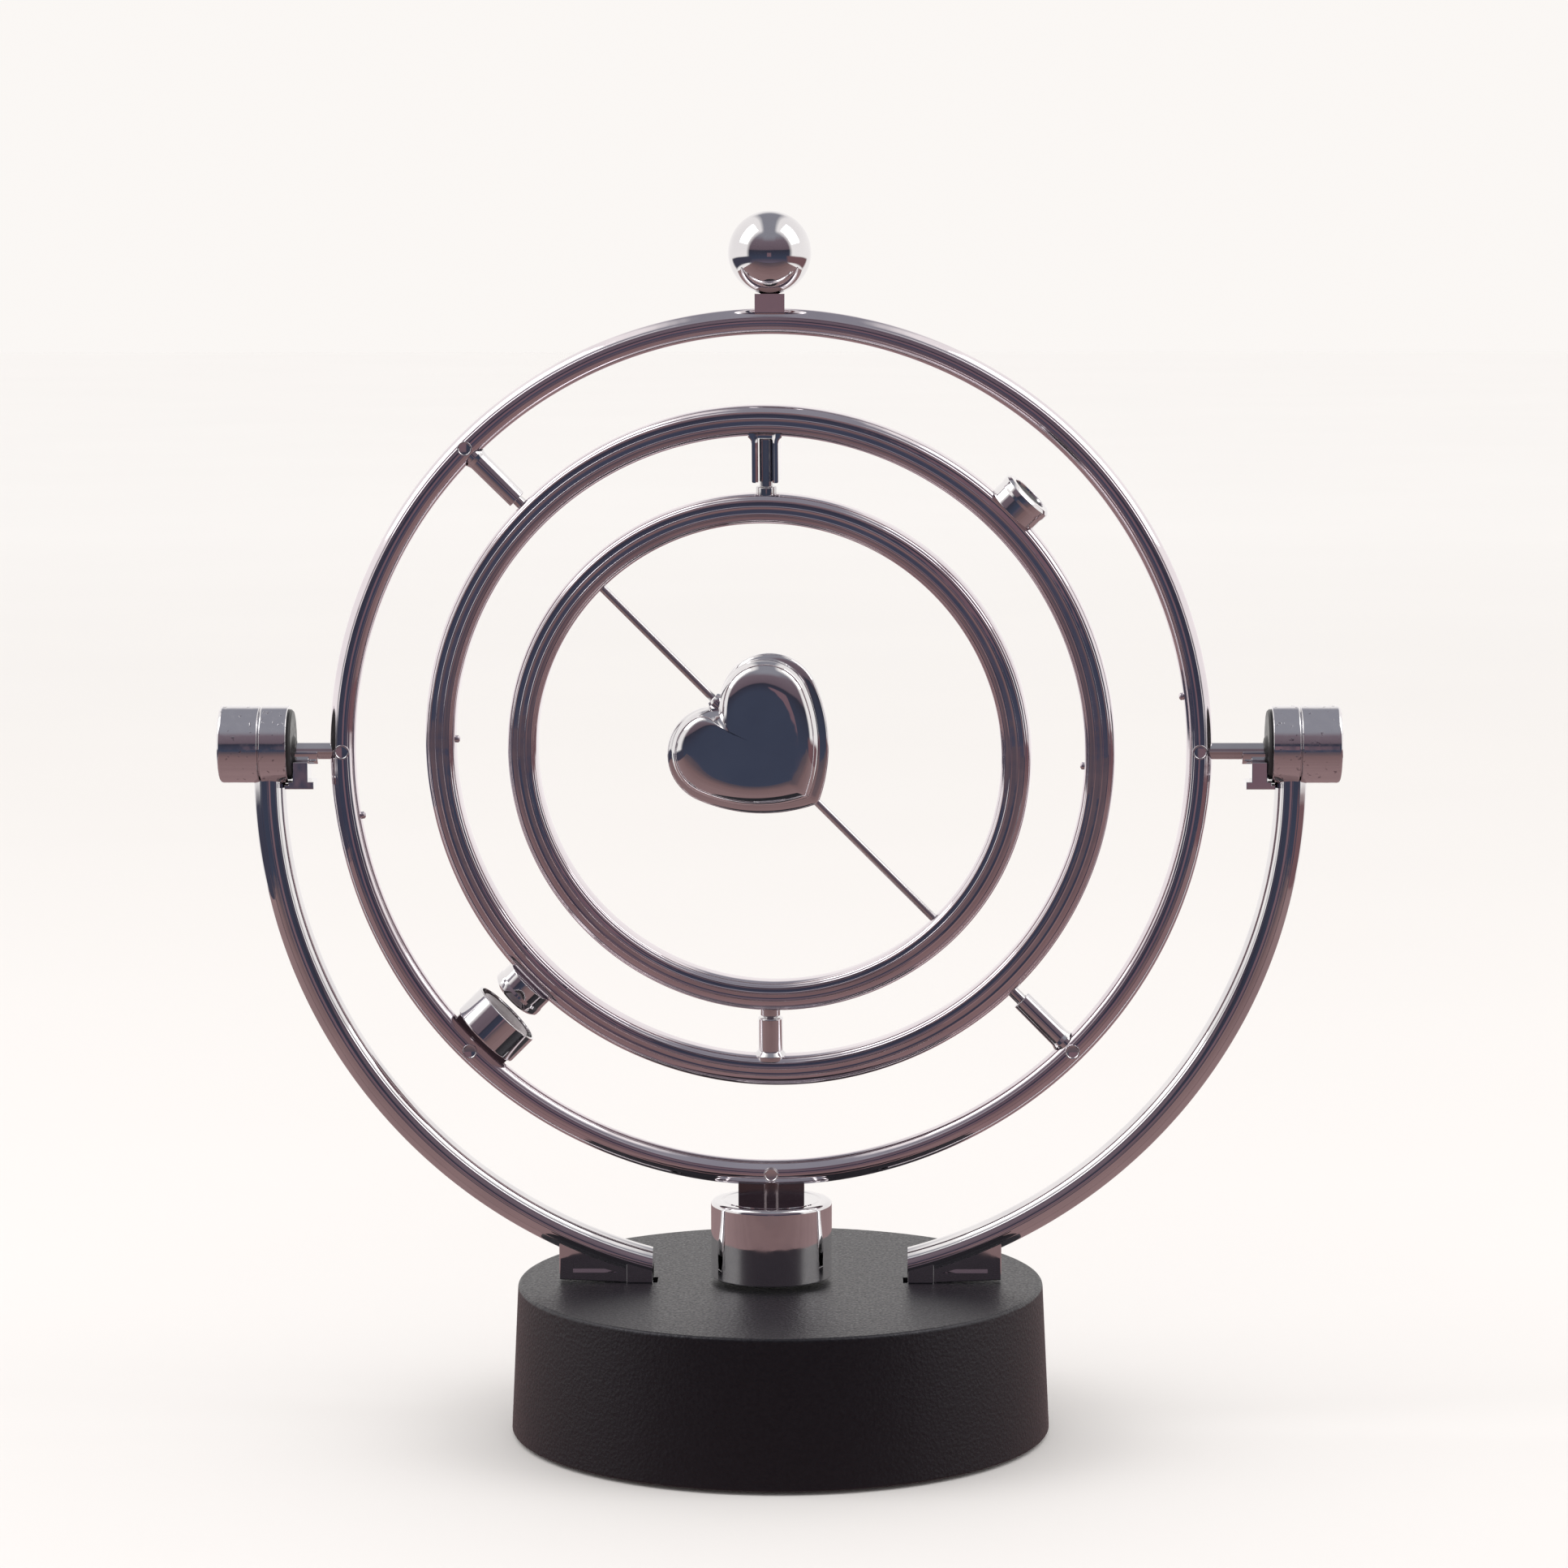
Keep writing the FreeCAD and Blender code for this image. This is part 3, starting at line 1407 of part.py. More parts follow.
def heart_half(label, frame, front):
    """Half of the puffed heart, from its parting face out to its flat middle."""
    body = document.addObject("PartDesign::Body", label)
    depth = size("dim.heart_half_depth")
    sketches = []
    for index, (level, share) in enumerate(HEART_LEVELS):
        sketch = new_sketch(body, f"{label}_level_{index}", "XY_Plane", move(z=level * depth))
        heart_outline(sketch, share)
        sketches.append(sketch)
    loft = body.newObject("PartDesign::AdditiveLoft", label + "_loft")
    loft.Profile = (sketches[0], [""])
    loft.Sections = [(sketch, [""]) for sketch in sketches[1:]]
    loft.Ruled = True
    groove_start = move(y=-30.0) * turn(X_AXIS, -90)
    cylinder(body, "Subtractive", label + "_wire_groove", "dim.wire_radius", "60", groove_start)
    groove_top = move(y=size("dim.sleeve_start")) * turn(X_AXIS, -90)
    length = "dim.sleeve_length"
    cylinder(body, "Subtractive", label + "_sleeve_seat", "dim.sleeve_radius", length, groove_top)
    face = FACING_FRONT if front else FACING_FRONT * turn(Y_AXIS, 180)
    keep(body, label, frame * turn(Y_AXIS, -45) * face)


def heart(frame):
    heart_half("heart_front", frame, True)
    heart_half("heart_back", frame, False)
    end = "dim.inner_radius - dim.inner_width + dim.wire_socket"
    half = size(end)
    turned(
        "heart_wire",
        [("0", "0"), ("dim.wire_radius", "0"), ("dim.wire_radius", f"2 * ({end})"), ("0", f"2 * ({end})")],
        spoke(frame, UPPER_LEFT, -half),
    )
    turned(
        "wire_sleeve",
        [
            ("dim.wire_radius", "0"),
            ("dim.sleeve_radius", "0"),
            ("dim.sleeve_radius", "dim.sleeve_length - 0.3"),
            ("dim.sleeve_radius - 0.3", "dim.sleeve_length"),
            ("dim.wire_radius", "dim.sleeve_length"),
        ],
        spoke(frame, UPPER_LEFT, size("dim.sleeve_start")),
    )


# ---- the whole toy -----------------------------------------------------------------------


def build():
    fill_sheet()
    base_shell()
    base_plate()
    rubber_feet()
    base_screws()
    battery_bay()
    battery_door()
    battery_cells()
    battery_contacts()
    coil()
    circuit_board()
    board_components()
    for side, word in ((1, "right"), (-1, "left")):
        frame = side_frame(side)
        arm(f"arm_{word}", frame)
        housing(word, frame)
        bearing(word, frame)
        bracket(word, frame)
    arm_screws()

    outer_frame = move(size("dim.ring_shift"), 0, size("dim.axis_height"))
    outer_ring(outer_frame)
    front_bosses(outer_frame)
    axles(outer_frame)
    finial(outer_frame)
    weight(outer_frame)
    driver(outer_frame)
    pivot_posts(outer_frame)

    slide = UPPER_LEFT_WAY * size("dim.mid_slide")
    mid_frame = outer_frame * Placement(slide, Rotation(DIAGONAL, size("dim.mid_turn")))
    mid_ring(mid_frame)
    mid_pins(mid_frame)
    pucks(mid_frame)
    fork_post(mid_frame)
    tube_post(mid_frame)

    inner_frame = mid_frame * turn(Z_AXIS, size("dim.inner_turn")) * move(z=-size("dim.inner_drop"))
    inner_ring(inner_frame)
    inner_pins(inner_frame)
    heart(inner_frame * turn(DIAGONAL, size("dim.heart_turn")))


def check():
    document.recompute()
    for item in document.Objects:
        if "Invalid" in item.State or "Error" in item.State:
            raise RuntimeError(f"{item.Label} failed: {item.State}")
    for item in sub_parts:
        if item.Shape.isNull() or not item.Shape.isValid() or not item.Shape.Solids:
            raise RuntimeError(f"{item.Label} has no valid shape")


def write():
    os.makedirs("parts", exist_ok=True)
    for item in sub_parts:
        item.Shape.exportStep(os.path.join("parts", item.Label + ".step"))
    print(len(sub_parts), "nodes written")


build()
check()
write()
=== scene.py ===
"""Looks for the gimbal ring desk toy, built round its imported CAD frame.

Lengths in the shape code are millimetres; piece() turns them into metres.
"""

import json
import math

import bmesh
import bpy
from mathutils import Matrix, Vector


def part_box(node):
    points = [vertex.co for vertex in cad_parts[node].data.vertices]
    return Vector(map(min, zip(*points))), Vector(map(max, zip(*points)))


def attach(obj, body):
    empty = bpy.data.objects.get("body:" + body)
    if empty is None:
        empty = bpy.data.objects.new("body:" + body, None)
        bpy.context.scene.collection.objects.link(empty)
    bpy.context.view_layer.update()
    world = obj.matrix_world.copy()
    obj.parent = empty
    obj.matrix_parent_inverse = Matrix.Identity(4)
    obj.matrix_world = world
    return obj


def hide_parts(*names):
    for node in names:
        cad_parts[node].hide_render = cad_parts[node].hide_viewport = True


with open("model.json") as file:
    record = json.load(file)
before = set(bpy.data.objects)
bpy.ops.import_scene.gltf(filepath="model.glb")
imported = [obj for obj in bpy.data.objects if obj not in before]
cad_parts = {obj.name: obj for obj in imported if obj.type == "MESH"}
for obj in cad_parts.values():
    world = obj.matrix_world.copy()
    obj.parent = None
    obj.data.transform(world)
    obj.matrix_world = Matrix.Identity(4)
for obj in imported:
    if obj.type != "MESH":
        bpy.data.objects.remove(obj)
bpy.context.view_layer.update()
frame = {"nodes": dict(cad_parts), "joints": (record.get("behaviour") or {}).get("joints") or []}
nodes = frame["nodes"]
joints = {joint["name"]: joint for joint in frame["joints"]}

STAND = "stand"
OUTER = "outer_ring_group"
MID = "mid_ring_group"
INNER = "inner_ring_group"
HEART = "heart_group"

# ---- places ----------------------------------------------------------------------------------

MM = 0.001
TO_METRES = Matrix.Scale(MM, 4)
DIAGONAL = Vector((1, 0, -1)).normalized()

# how far each group is turned at rest, and how far the inner ring sits down in its play
MID_TURN = math.radians(7.5)
INNER_TURN = math.radians(-0.8)
HEART_TURN = math.radians(-3.0)
INNER_DROP = 0.95


def move(x=0.0, y=0.0, z=0.0):
    return Matrix.Translation((x, y, z))


def turn(axis, degrees):
    return Matrix.Rotation(math.radians(degrees), 4, axis)


def joint_place(name):
    return Matrix.Translation(Vector(joints[name]["pos_m"]) / MM)


outer_place = joint_place("outer_ring_swing")
mid_place = joint_place("inner_ring_spin") @ Matrix.Rotation(MID_TURN, 4, DIAGONAL)
inner_place = mid_place @ Matrix.Rotation(INNER_TURN, 4, "Z") @ move(z=-INNER_DROP)
heart_place = inner_place @ Matrix.Rotation(HEART_TURN, 4, DIAGONAL)
FACING_FRONT = turn("X", 90)
FLIP = turn("X", 180)
AXIS_HEIGHT = outer_place.translation.z


def spoke(place, angle, distance=0.0, inward=False):
    """A place on a ring's spoke with +Z along it; angles run from +X towards +Z."""
    found = place @ turn("Y", 90 - angle) @ move(z=distance)
    return found @ FLIP if inward else found


def side_place(side):
    """The swing axle's frame on one side of the stand, with +X outwards."""
    return move(z=AXIS_HEIGHT) @ turn("Z", 0 if side > 0 else 180)


# ---- mesh tools ------------------------------------------------------------------------------


class Shape:
    """Points and faces in millimetres, put in place as they are added."""

    def __init__(self):
        self.points = []
        self.faces = []

    def add(self, points, faces, place=Matrix.Identity(4)):
        first = len(self.points)
        self.points += [place @ Vector(point) for point in points]
        self.faces += [tuple(first + index for index in face) for face in faces]
        return self

    def add_bmesh(self, bm, place=Matrix.Identity(4)):
        bm.verts.index_update()
        points = [vertex.co.copy() for vertex in bm.verts]
        faces = [[vertex.index for vertex in face.verts] for face in bm.faces]
        bm.free()
        return self.add(points, faces, place)

    def bmesh(self):
        bm = bmesh.new()
        made = [bm.verts.new(point) for point in self.points]
        for face in self.faces:
            bm.faces.new([made[index] for index in face])
        bmesh.ops.recalc_face_normals(bm, faces=bm.faces)
        return bm


def soften(corners, steps=4):
    """Replace each corner (x, y, radius) of a closed outline by a small arc."""
    nearly_straight = math.radians(88)
    most_of_side = 0.49
    result = []
    count = len(corners)
    for index, (x, y, radius) in enumerate(corners):
        here = Vector((x, y))
        if radius <= 0:
            result.append(here)
            continue
        before = Vector(corners[index - 1][:2]) - here
        after = Vector(corners[(index + 1) % count][:2]) - here
        half = before.angle(after) / 2
        if half > nearly_straight:
            result.append(here)
            continue
        reach = min(radius / math.tan(half), before.length * most_of_side, after.length * most_of_side)
        start = here + before.normalized() * reach
        end = here + after.normalized() * reach
        for step in range(steps + 1):
            share = step / steps
            result.append(start * (1 - share) ** 2 + here * 2 * share * (1 - share) + end * share**2)
    return result


def lathe(outline, segments=96, closed=True, seams=(), seam_height=0.06):
    """A (radius, height) outline turned about Z; seams are angles with a fine raised line."""
    on_axis = 0.001
    points, faces = [], []
    outline = [Vector(point) for point in outline]
    count = len(outline)
    for segment in range(segments):
        angle = 360 * segment / segments
        raised = any(abs((angle - seam + 180) % 360 - 180) < 180 / segments + 0.01 for seam in seams)
        for radius, height in outline:
            grown = radius + (seam_height if raised and radius > on_axis else 0)
            turned = math.radians(angle)
            points.append((grown * math.cos(turned), grown * math.sin(turned), height))
    spans = count if closed else count - 1
    for segment in range(segments):
        here, there = segment * count, (segment + 1) % segments * count
        for index in range(spans):
            following = (index + 1) % count
            if outline[index].x < on_axis and outline[following].x < on_axis:
                continue
            faces.append((here + index, there + index, there + following, here + following))
    return merged(points, faces)


def merged(points, faces, distance=0.0005):
    """Join coincident points, so that a turned outline closes at its axis."""
    bm = Shape().add(points, faces).bmesh()
    bmesh.ops.remove_doubles(bm, verts=bm.verts, dist=distance)
    bmesh.ops.recalc_face_normals(bm, faces=bm.faces)
    return bm


def bands(levels, count):
    """The faces between outlines of the same count of points, stacked one on another."""
    faces = []
    for level in range(levels - 1):
        here, there = level * count, (level + 1) * count
        for index in range(count):
            following = (index + 1) % count
            faces.append((here + index, here + following, there + following, there + index))
    return faces


def prism(outline, depth, bevel):
    """An outline in X and Z, extruded both ways along Y, with its edges rounded."""
    half = depth / 2
    count = len(outline)
    points = [(x, -half, z) for x, z in outline] + [(x, half, z) for x, z in outline]
    faces = [tuple(range(count)), tuple(reversed(range(count, 2 * count)))]
    for index in range(count):
        following = (index + 1) % count
        faces.append((index, index + count, following + count, following))
    bm = Shape().add(points, faces).bmesh()
    return rounded(bm, bevel)


def block(length, width, height, bevel):
    """A box centred in X and Y that rises along Z."""
    half = length / 2
    return prism([(-half, 0), (half, 0), (half, height), (-half, height)], width, bevel)


def rounded(bm, radius, sharp=30):
    """Round the edges that turn by more than a number of degrees."""
    edges = [e for e in bm.edges if len(e.link_faces) == 2 and e.calc_face_angle() > math.radians(sharp)]
    if radius > 0 and edges:
        bmesh.ops.bevel(bm, geom=edges, offset=radius, segments=3, profile=0.5, affect="EDGES", clamp_overlap=True)
    return bm


def cut(bm, *cutters):
    """Take the cutters away from a mesh."""
    base = temporary(bm, "cut_base")
    for cutter in cutters:
        tool = temporary(cutter, "cut_tool")
        modifier = base.modifiers.new("cut", "BOOLEAN")
        modifier.operation = "DIFFERENCE"
        modifier.solver = "EXACT"
        modifier.object = tool
        evaluated = base.evaluated_get(bpy.context.evaluated_depsgraph_get())
        result = bpy.data.meshes.new_from_object(evaluated)
        base.modifiers.clear()
        base.data = result
        bpy.data.objects.remove(tool)
    bm = bmesh.new()
    bm.from_mesh(base.data)
    bpy.data.objects.remove(base)
    return bm


def temporary(bm, name):
    mesh = bpy.data.meshes.new(name)
    bm.to_mesh(mesh)
    bm.free()
    made = bpy.data.objects.new(name, mesh)
    bpy.context.scene.collection.objects.link(made)
    return made


def finish_shading(piece):
    normals = piece.modifiers.new("normals", "WEIGHTED_NORMAL")
    normals.keep_sharp = True
    normals.weight = 80


def piece(name, shape, body, material, slot, *replaced, crease=44):
    """Make a shape into a piece of the toy that rides on a body and stands for CAD nodes."""
    bm = shape.bmesh() if isinstance(shape, Shape) else shape
    bm.transform(TO_METRES)
    bmesh.ops.recalc_face_normals(bm, faces=bm.faces)
    for face in bm.faces:
        face.smooth = True
    for edge in bm.edges:
        if len(edge.link_faces) == 2 and edge.calc_face_angle() > math.radians(crease):
            edge.smooth = False
    mesh = bpy.data.meshes.new(name)
    bm.to_mesh(mesh)
    bm.free()
    made = bpy.data.objects.new(name, mesh)
    bpy.context.scene.collection.objects.link(made)
    made.data.materials.append(material)
    finish_shading(made)
    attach(made, body)
    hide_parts(*replaced)
    return made


def placed(bm, place):
    """Move a mesh to its place, and hand it on."""
    bm.transform(place)
    return bm


def dress(node, material, bevel=0.0, sharp=35):
    """Give a CAD node its material, and soften its edges where they show."""
    made = nodes[node]
    if not made.material_slots:
        made.data.materials.append(material)
    for entry in made.material_slots:
        entry.material = material
    if bevel:
        weld = made.modifiers.new("weld", "WELD")
        weld.merge_threshold = 0.001 * MM
        edge = made.modifiers.new("edge", "BEVEL")
        edge.width = bevel * MM
        edge.segments = 3
        edge.limit_method = "ANGLE"
        edge.angle_limit = math.radians(sharp)
        edge.harden_normals = False
        finish_shading(made)


# ---- materials -------------------------------------------------------------------------------


class Surface:
    """A material whose colour, roughness and bump come from procedural nodes in object space."""

    def __init__(self, name, **fixed):
        self.material = bpy.data.materials.new(name)
        self.material.use_nodes = True
        self.tree = self.material.node_tree
        self.shader = self.tree.nodes["Principled BSDF"]
        self.place = self.tree.nodes.new("ShaderNodeTexCoord").outputs["Object"]
        self.normal = None
        for socket, number in fixed.items():
            self.shader.inputs[socket.replace("_", " ")].default_value = number

    def node(self, kind, **values):
        made = self.tree.nodes.new("ShaderNode" + kind)
        for name, value in values.items():
            if name in made.inputs:
                made.inputs[name].default_value = value
            else:
                setattr(made, name, value)
        return made

    def link(self, start, end):
        self.tree.links.new(start, end)

    def noise(self, size, detail=3.0, stretch=(1, 1, 1), roughness=0.5):
        """Noise whose features are about this many millimetres across."""
        mapping = self.node("Mapping")
        mapping.inputs["Scale"].default_value = stretch
        self.link(self.place, mapping.inputs["Vector"])
        made = self.node("TexNoise", Scale=1 / (size * MM), Detail=detail, Roughness=roughness)
        self.link(mapping.outputs["Vector"], made.inputs["Vector"])
        return made.outputs["Fac"]

    def cells(self, size):
        """Rounded cells about this many millimetres across."""
        made = self.node("TexVoronoi", Scale=1 / (size * MM))
        self.link(self.place, made.inputs["Vector"])
        return made.outputs["Distance"]

    def ramp(self, value, stops):
        """Colours at (position, colour) stops along a value from 0 to 1."""
        made = self.node("ValToRGB")
        elements = made.color_ramp.elements
        while len(elements) < len(stops):
            elements.new(0.5)
        for element, (position, colour) in zip(elements, stops):
            element.position = position
            element.color = (*colour, 1)
        self.link(value, made.inputs["Fac"])
        return made.outputs["Color"]

    def range(self, value, low, high, start=0.3, end=0.7):
        """A number that goes from low to high as a value goes from start to end."""
        made = self.node("MapRange")
        made.inputs["From Min"].default_value = start
        made.inputs["From Max"].default_value = end
        made.inputs["To Min"].default_value = low
        made.inputs["To Max"].default_value = high
        self.link(value, made.inputs["Value"])
        return made.outputs["Result"]

    def colour(self, value):
        self.link(value, self.shader.inputs["Base Color"])
        return self

    def rough(self, value):
        self.link(value, self.shader.inputs["Roughness"])
        return self

    def bump(self, value, depth):
        """Add relief this many millimetres deep."""
        made = self.node("Bump", Strength=1.0, Distance=depth * MM)
        self.link(value, made.inputs["Height"])
        if self.normal:
            self.link(self.normal, made.inputs["Normal"])
        self.normal = made.outputs["Normal"]
        self.link(self.normal, self.shader.inputs["Normal"])
        return self


def plated(name, light, dark, gloss=(0.03, 0.09), wave=0.05):
    """Chrome plating: nearly mirror bright, with the waviness of the moulding and fine handling marks."""
    surface = Surface(name, Metallic=1.0)
    surface.colour(surface.ramp(surface.noise(14.0), [(0.3, dark), (0.7, light)]))
    surface.rough(surface.range(surface.noise(3.0, 5.0), *gloss, start=0.35, end=0.75))
    surface.bump(surface.noise(7.0, 2.0), wave)
    surface.bump(surface.noise(0.35, 2.0), 0.0004)
    return surface.material


def moulded(name, light, dark, rough=(0.42, 0.6), grain=0.35, relief=0.02):
    """Moulded plastic or rubber with an even, eroded grain."""
    surface = Surface(name, Specular_IOR_Level=0.5)
    surface.colour(surface.ramp(surface.noise(9.0, 4.0), [(0.3, dark), (0.7, light)]))
    surface.rough(surface.range(surface.noise(1.6, 4.0), *rough))
    surface.bump(surface.noise(grain, 3.0, roughness=0.6), relief)
    surface.bump(surface.cells(grain * 1.7), relief * 0.5)
    return surface.material


def grained(name, light, dark):
    """Spark-eroded black plastic: a fine leathery grain whose crests catch the light."""
    surface = Surface(name, Specular_IOR_Level=0.5, Specular_Tint=(0.93, 0.91, 1.0, 1.0))
    surface.colour(surface.ramp(surface.noise(0.9, 3.0), [(0.35, dark), (0.65, light)]))
    surface.rough(surface.range(surface.noise(0.5, 3.0), 0.3, 0.52))
    surface.bump(surface.noise(0.5, 3.0, roughness=0.65), 0.06)
    surface.bump(surface.cells(0.75), 0.05)
    return surface.material


def bare_metal(name, light, dark, rough=(0.18, 0.35), metallic=1.0):
    """Unplated metal or sintered magnet, with a fine bite to its surface."""
    surface = Surface(name, Metallic=metallic)
    surface.colour(surface.ramp(surface.noise(2.5, 4.0), [(0.3, dark), (0.7, light)]))
    surface.rough(surface.range(surface.noise(0.9, 4.0), *rough))
    surface.bump(surface.noise(0.16, 2.0), 0.002)
    return surface.material


def worn_plate():
    """Chrome plating with the pits and rubbed spots of a rough moulding underneath."""
    surface = Surface("worn_plate", Metallic=1.0)
    spots = surface.range(surface.noise(1.1, 4.0), 0.0, 1.0, start=0.63, end=0.7)
    surface.colour(surface.ramp(spots, [(0.0, (0.78, 0.77, 0.79)), (1.0, (0.42, 0.4, 0.43))]))
    surface.rough(surface.range(surface.noise(1.6, 5.0), 0.05, 0.2, start=0.4, end=0.75))
    surface.bump(surface.noise(6.0, 2.0), 0.05)
    surface.bump(spots, 0.02)
    return surface.material


CHROME = plated("chrome_plate", (0.80, 0.79, 0.80), (0.70, 0.69, 0.71))
# the rings' plating is tinted pink: real chrome, with a painted reflection of the warm table below in its colour
RING_CHROME = plated("ring_chrome", (0.8, 0.75, 0.78), (0.7, 0.65, 0.69), gloss=(0.04, 0.11), wave=0.07)
# the saddles' plating in dark colours, a shaded copy of the chrome plating: painted shade
SHADED_SADDLE_PLATE = plated("shaded_plate", (0.2, 0.17, 0.18), (0.12, 0.1, 0.11), gloss=(0.1, 0.22))
AXLE = plated("axle_steel", (0.74, 0.73, 0.74), (0.60, 0.59, 0.60), gloss=(0.08, 0.16), wave=0.01)
WORN = worn_plate()
BLACK = grained("black_plastic", (0.0032, 0.003, 0.0048), (0.0018, 0.0017, 0.003))
UNDER = moulded("dark_plastic", (0.024, 0.024, 0.026), (0.014, 0.014, 0.015), rough=(0.55, 0.75), grain=0.6)
BEARING = moulded(
    "bearing_plastic", (0.02, 0.02, 0.022), (0.01, 0.01, 0.011), rough=(0.3, 0.45), grain=0.8, relief=0.008
)
RUBBER = moulded("rubber", (0.05, 0.05, 0.05), (0.03, 0.03, 0.03), rough=(0.8, 0.95), grain=0.5)
BRASS = bare_metal("brass", (0.78, 0.58, 0.26), (0.55, 0.37, 0.14))
SPRING = bare_metal("spring_steel", (0.62, 0.62, 0.6), (0.46, 0.46, 0.45))
ZINC = bare_metal("screw_steel", (0.58, 0.58, 0.57), (0.4, 0.4, 0.4), rough=(0.25, 0.5))
IRON = bare_metal("iron", (0.2, 0.19, 0.19), (0.11, 0.1, 0.1), rough=(0.45, 0.7))
FERRITE = bare_metal("magnet", (0.035, 0.034, 0.038), (0.018, 0.018, 0.02), rough=(0.4, 0.62), metallic=0.3)
MAGNET_FACE = bare_metal(
    "magnet_face", (0.36, 0.32, 0.335), (0.27, 0.235, 0.25), rough=(0.3, 0.42), metallic=0.8
)
BOBBIN = moulded("bobbin_plastic", (0.72, 0.69, 0.62), (0.62, 0.59, 0.52), grain=0.9, relief=0.006)
COMPONENT = moulded("component_plastic", (0.06, 0.05, 0.05), (0.02, 0.02, 0.025), grain=0.5, relief=0.006)


def copper_winding():
    """Turns of enamelled wire, as bands across the coil's axis."""
    surface = Surface("copper", Metallic=0.9)
    turns = surface.node("TexWave", Scale=1 / (1.9 * MM), Distortion=0.4, Detail=1.0)
    turns.bands_direction = "Z"
    surface.link(surface.place, turns.inputs["Vector"])
    surface.colour(surface.ramp(turns.outputs["Fac"], [(0.1, (0.16, 0.05, 0.02)), (0.8, (0.62, 0.27, 0.12))]))
    surface.rough(surface.range(surface.noise(1.2), 0.25, 0.42))
    surface.bump(turns.outputs["Fac"], 0.08)
    return surface.material


def cell_jacket():
    """The cells' plain dark foil sleeve."""
    surface = Surface("cell_jacket", Metallic=0.35)
    dark, light = (0.03, 0.035, 0.045), (0.06, 0.065, 0.08)
    surface.colour(surface.ramp(surface.noise(30.0, 2.0), [(0.35, dark), (0.65, light)]))
    surface.rough(surface.range(surface.noise(4.0), 0.22, 0.4))
    surface.bump(surface.noise(12.0, 2.0), 0.05)
    return surface.material


def fibre_board():
    """Brown pressed-paper circuit board, with its fibres along X."""
    surface = Surface("board")
    dark, light = (0.2, 0.11, 0.04), (0.33, 0.2, 0.08)
    surface.colour(surface.ramp(surface.noise(1.8, 5.0, (1, 4, 1)), [(0.3, dark), (0.7, light)]))
    surface.rough(surface.range(surface.noise(2.0), 0.45, 0.65))
    surface.bump(surface.noise(0.5, 3.0), 0.02)
    return surface.material


# ---- base ------------------------------------------------------------------------------------

BASE_LOW, BASE_HIGH = (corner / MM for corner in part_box("base_shell"))
BASE_TOP = BASE_HIGH.z
ARM_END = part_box("arm_right")[0].x / MM
SLOT_MIDDLE = 27.35


def base_shell():
    """The round shell: a wall that leans in by its draft, a flat lid, and a slot for each arm's foot."""
    wall, lid, draft = 2.2, 2.4, 1.4
    slot_length, slot_width, slot_spare = 6.1, 5.2, 1
    foot, foot_radius, top_radius = BASE_LOW.z, BASE_HIGH.x, BASE_HIGH.x - draft
    outline = [
        (0, BASE_TOP, 0),
        (top_radius, BASE_TOP, 0.8),
        (foot_radius, foot, 0.35),
        (foot_radius - wall, foot, 0.2),
        (top_radius - wall, BASE_TOP - lid, 0.8),
        (0, BASE_TOP - lid, 0),
    ]
    shell = lathe(soften(outline), 240)
    slots = []
    for side in (1, -1):
        slot = block(slot_length, slot_width, lid + 2 * slot_spare, 0)
        slots.append(placed(slot, move(side * SLOT_MIDDLE, 0, BASE_TOP - lid - slot_spare)))
    piece("base_shell_skin", cut(shell, *slots), STAND, BLACK, "black_plastic", "base_shell")


base_shell()
for name in ("base_plate", "battery_door", "battery_bay"):
    dress(name, UNDER, 0.2)
JACKET = cell_jacket()
for index in range(1, 5):
    dress(f"battery_cell_{index}", JACKET)
dress("rubber_feet", RUBBER)
dress("base_screws", ZINC)
dress("arm_screws", ZINC)
dress("battery_contacts", SPRING)
dress("coil_bobbin", BOBBIN)
dress("coil_winding", copper_winding())
dress("coil_core", IRON)
dress("circuit_board", fibre_board())
dress("board_components", COMPONENT)

# ---- arms and housings -----------------------------------------------------------------------

# the arms' bows turn about a point a little below the swing axis
ARM_RADIUS, ARM_DROP, ARM_WIDTH, ARM_DEPTH = 100.0, 5.5, 6.3, 6.4


def round_section(width, depth, fullness, ridges=(), ridge=0.05, steps=72):
    """A rounded bar's section; fine parting ridges run along its front and back at the given radii."""
    outline = []
    for step in range(steps):
        angle = 2 * math.pi * step / steps
        across, up = math.cos(angle), math.sin(angle)
        outline.append(
            Vector((
                width / 2 * math.copysign(abs(across) ** (2 / fullness), across),
                depth / 2 * math.copysign(abs(up) ** (2 / fullness), up),
            ))
        )
    for across in ridges:
        outline = with_ridges(outline, ridge, across)
    return outline


def with_ridges(points, height, across):
    """Raise a fine ridge on the section's front and back where it crosses a given radius."""
    profile = ((-0.22, 0), (-0.08, 1), (0.08, 1), (0.22, 0))
    half_depth = max(abs(point.y) for point in points)
    result = []
    count = len(points)
    for index, here in enumerate(points):
        following = points[(index + 1) % count]
        result.append(here)
        low, high = min(here.x, following.x), max(here.x, following.x)
        if low < across < high and abs(here.y) > half_depth / 2:
            share = (across - here.x) / (following.x - here.x)
            crest = here.lerp(following, share)
            along = (following - here).normalized()
            out = Vector((0, math.copysign(height, here.y)))
            for offset, lift in profile:
                result.append(crest + along * offset + out * lift)
    return result


def arm_bow(shape, place, steps=160):
    """The bow from inside the housing down to its upright end face."""
    section = round_section(ARM_WIDTH, ARM_DEPTH, 2.05, (-1.5, 0.3, 1.7), 0.06)
    points = []
    count = len(section)
    for step in range(steps + 1):
        for across, depth in section:
            radius = ARM_RADIUS + across
            angle = math.acos(ARM_END / radius) * step / steps
            points.append((radius * math.cos(angle), depth, -radius * math.sin(angle)))
    faces = bands(steps + 1, count)
    faces.append(tuple(range(count)))
    faces.append(tuple(reversed(range(steps * count, (steps + 1) * count))))
    shape.add(points, faces, place)


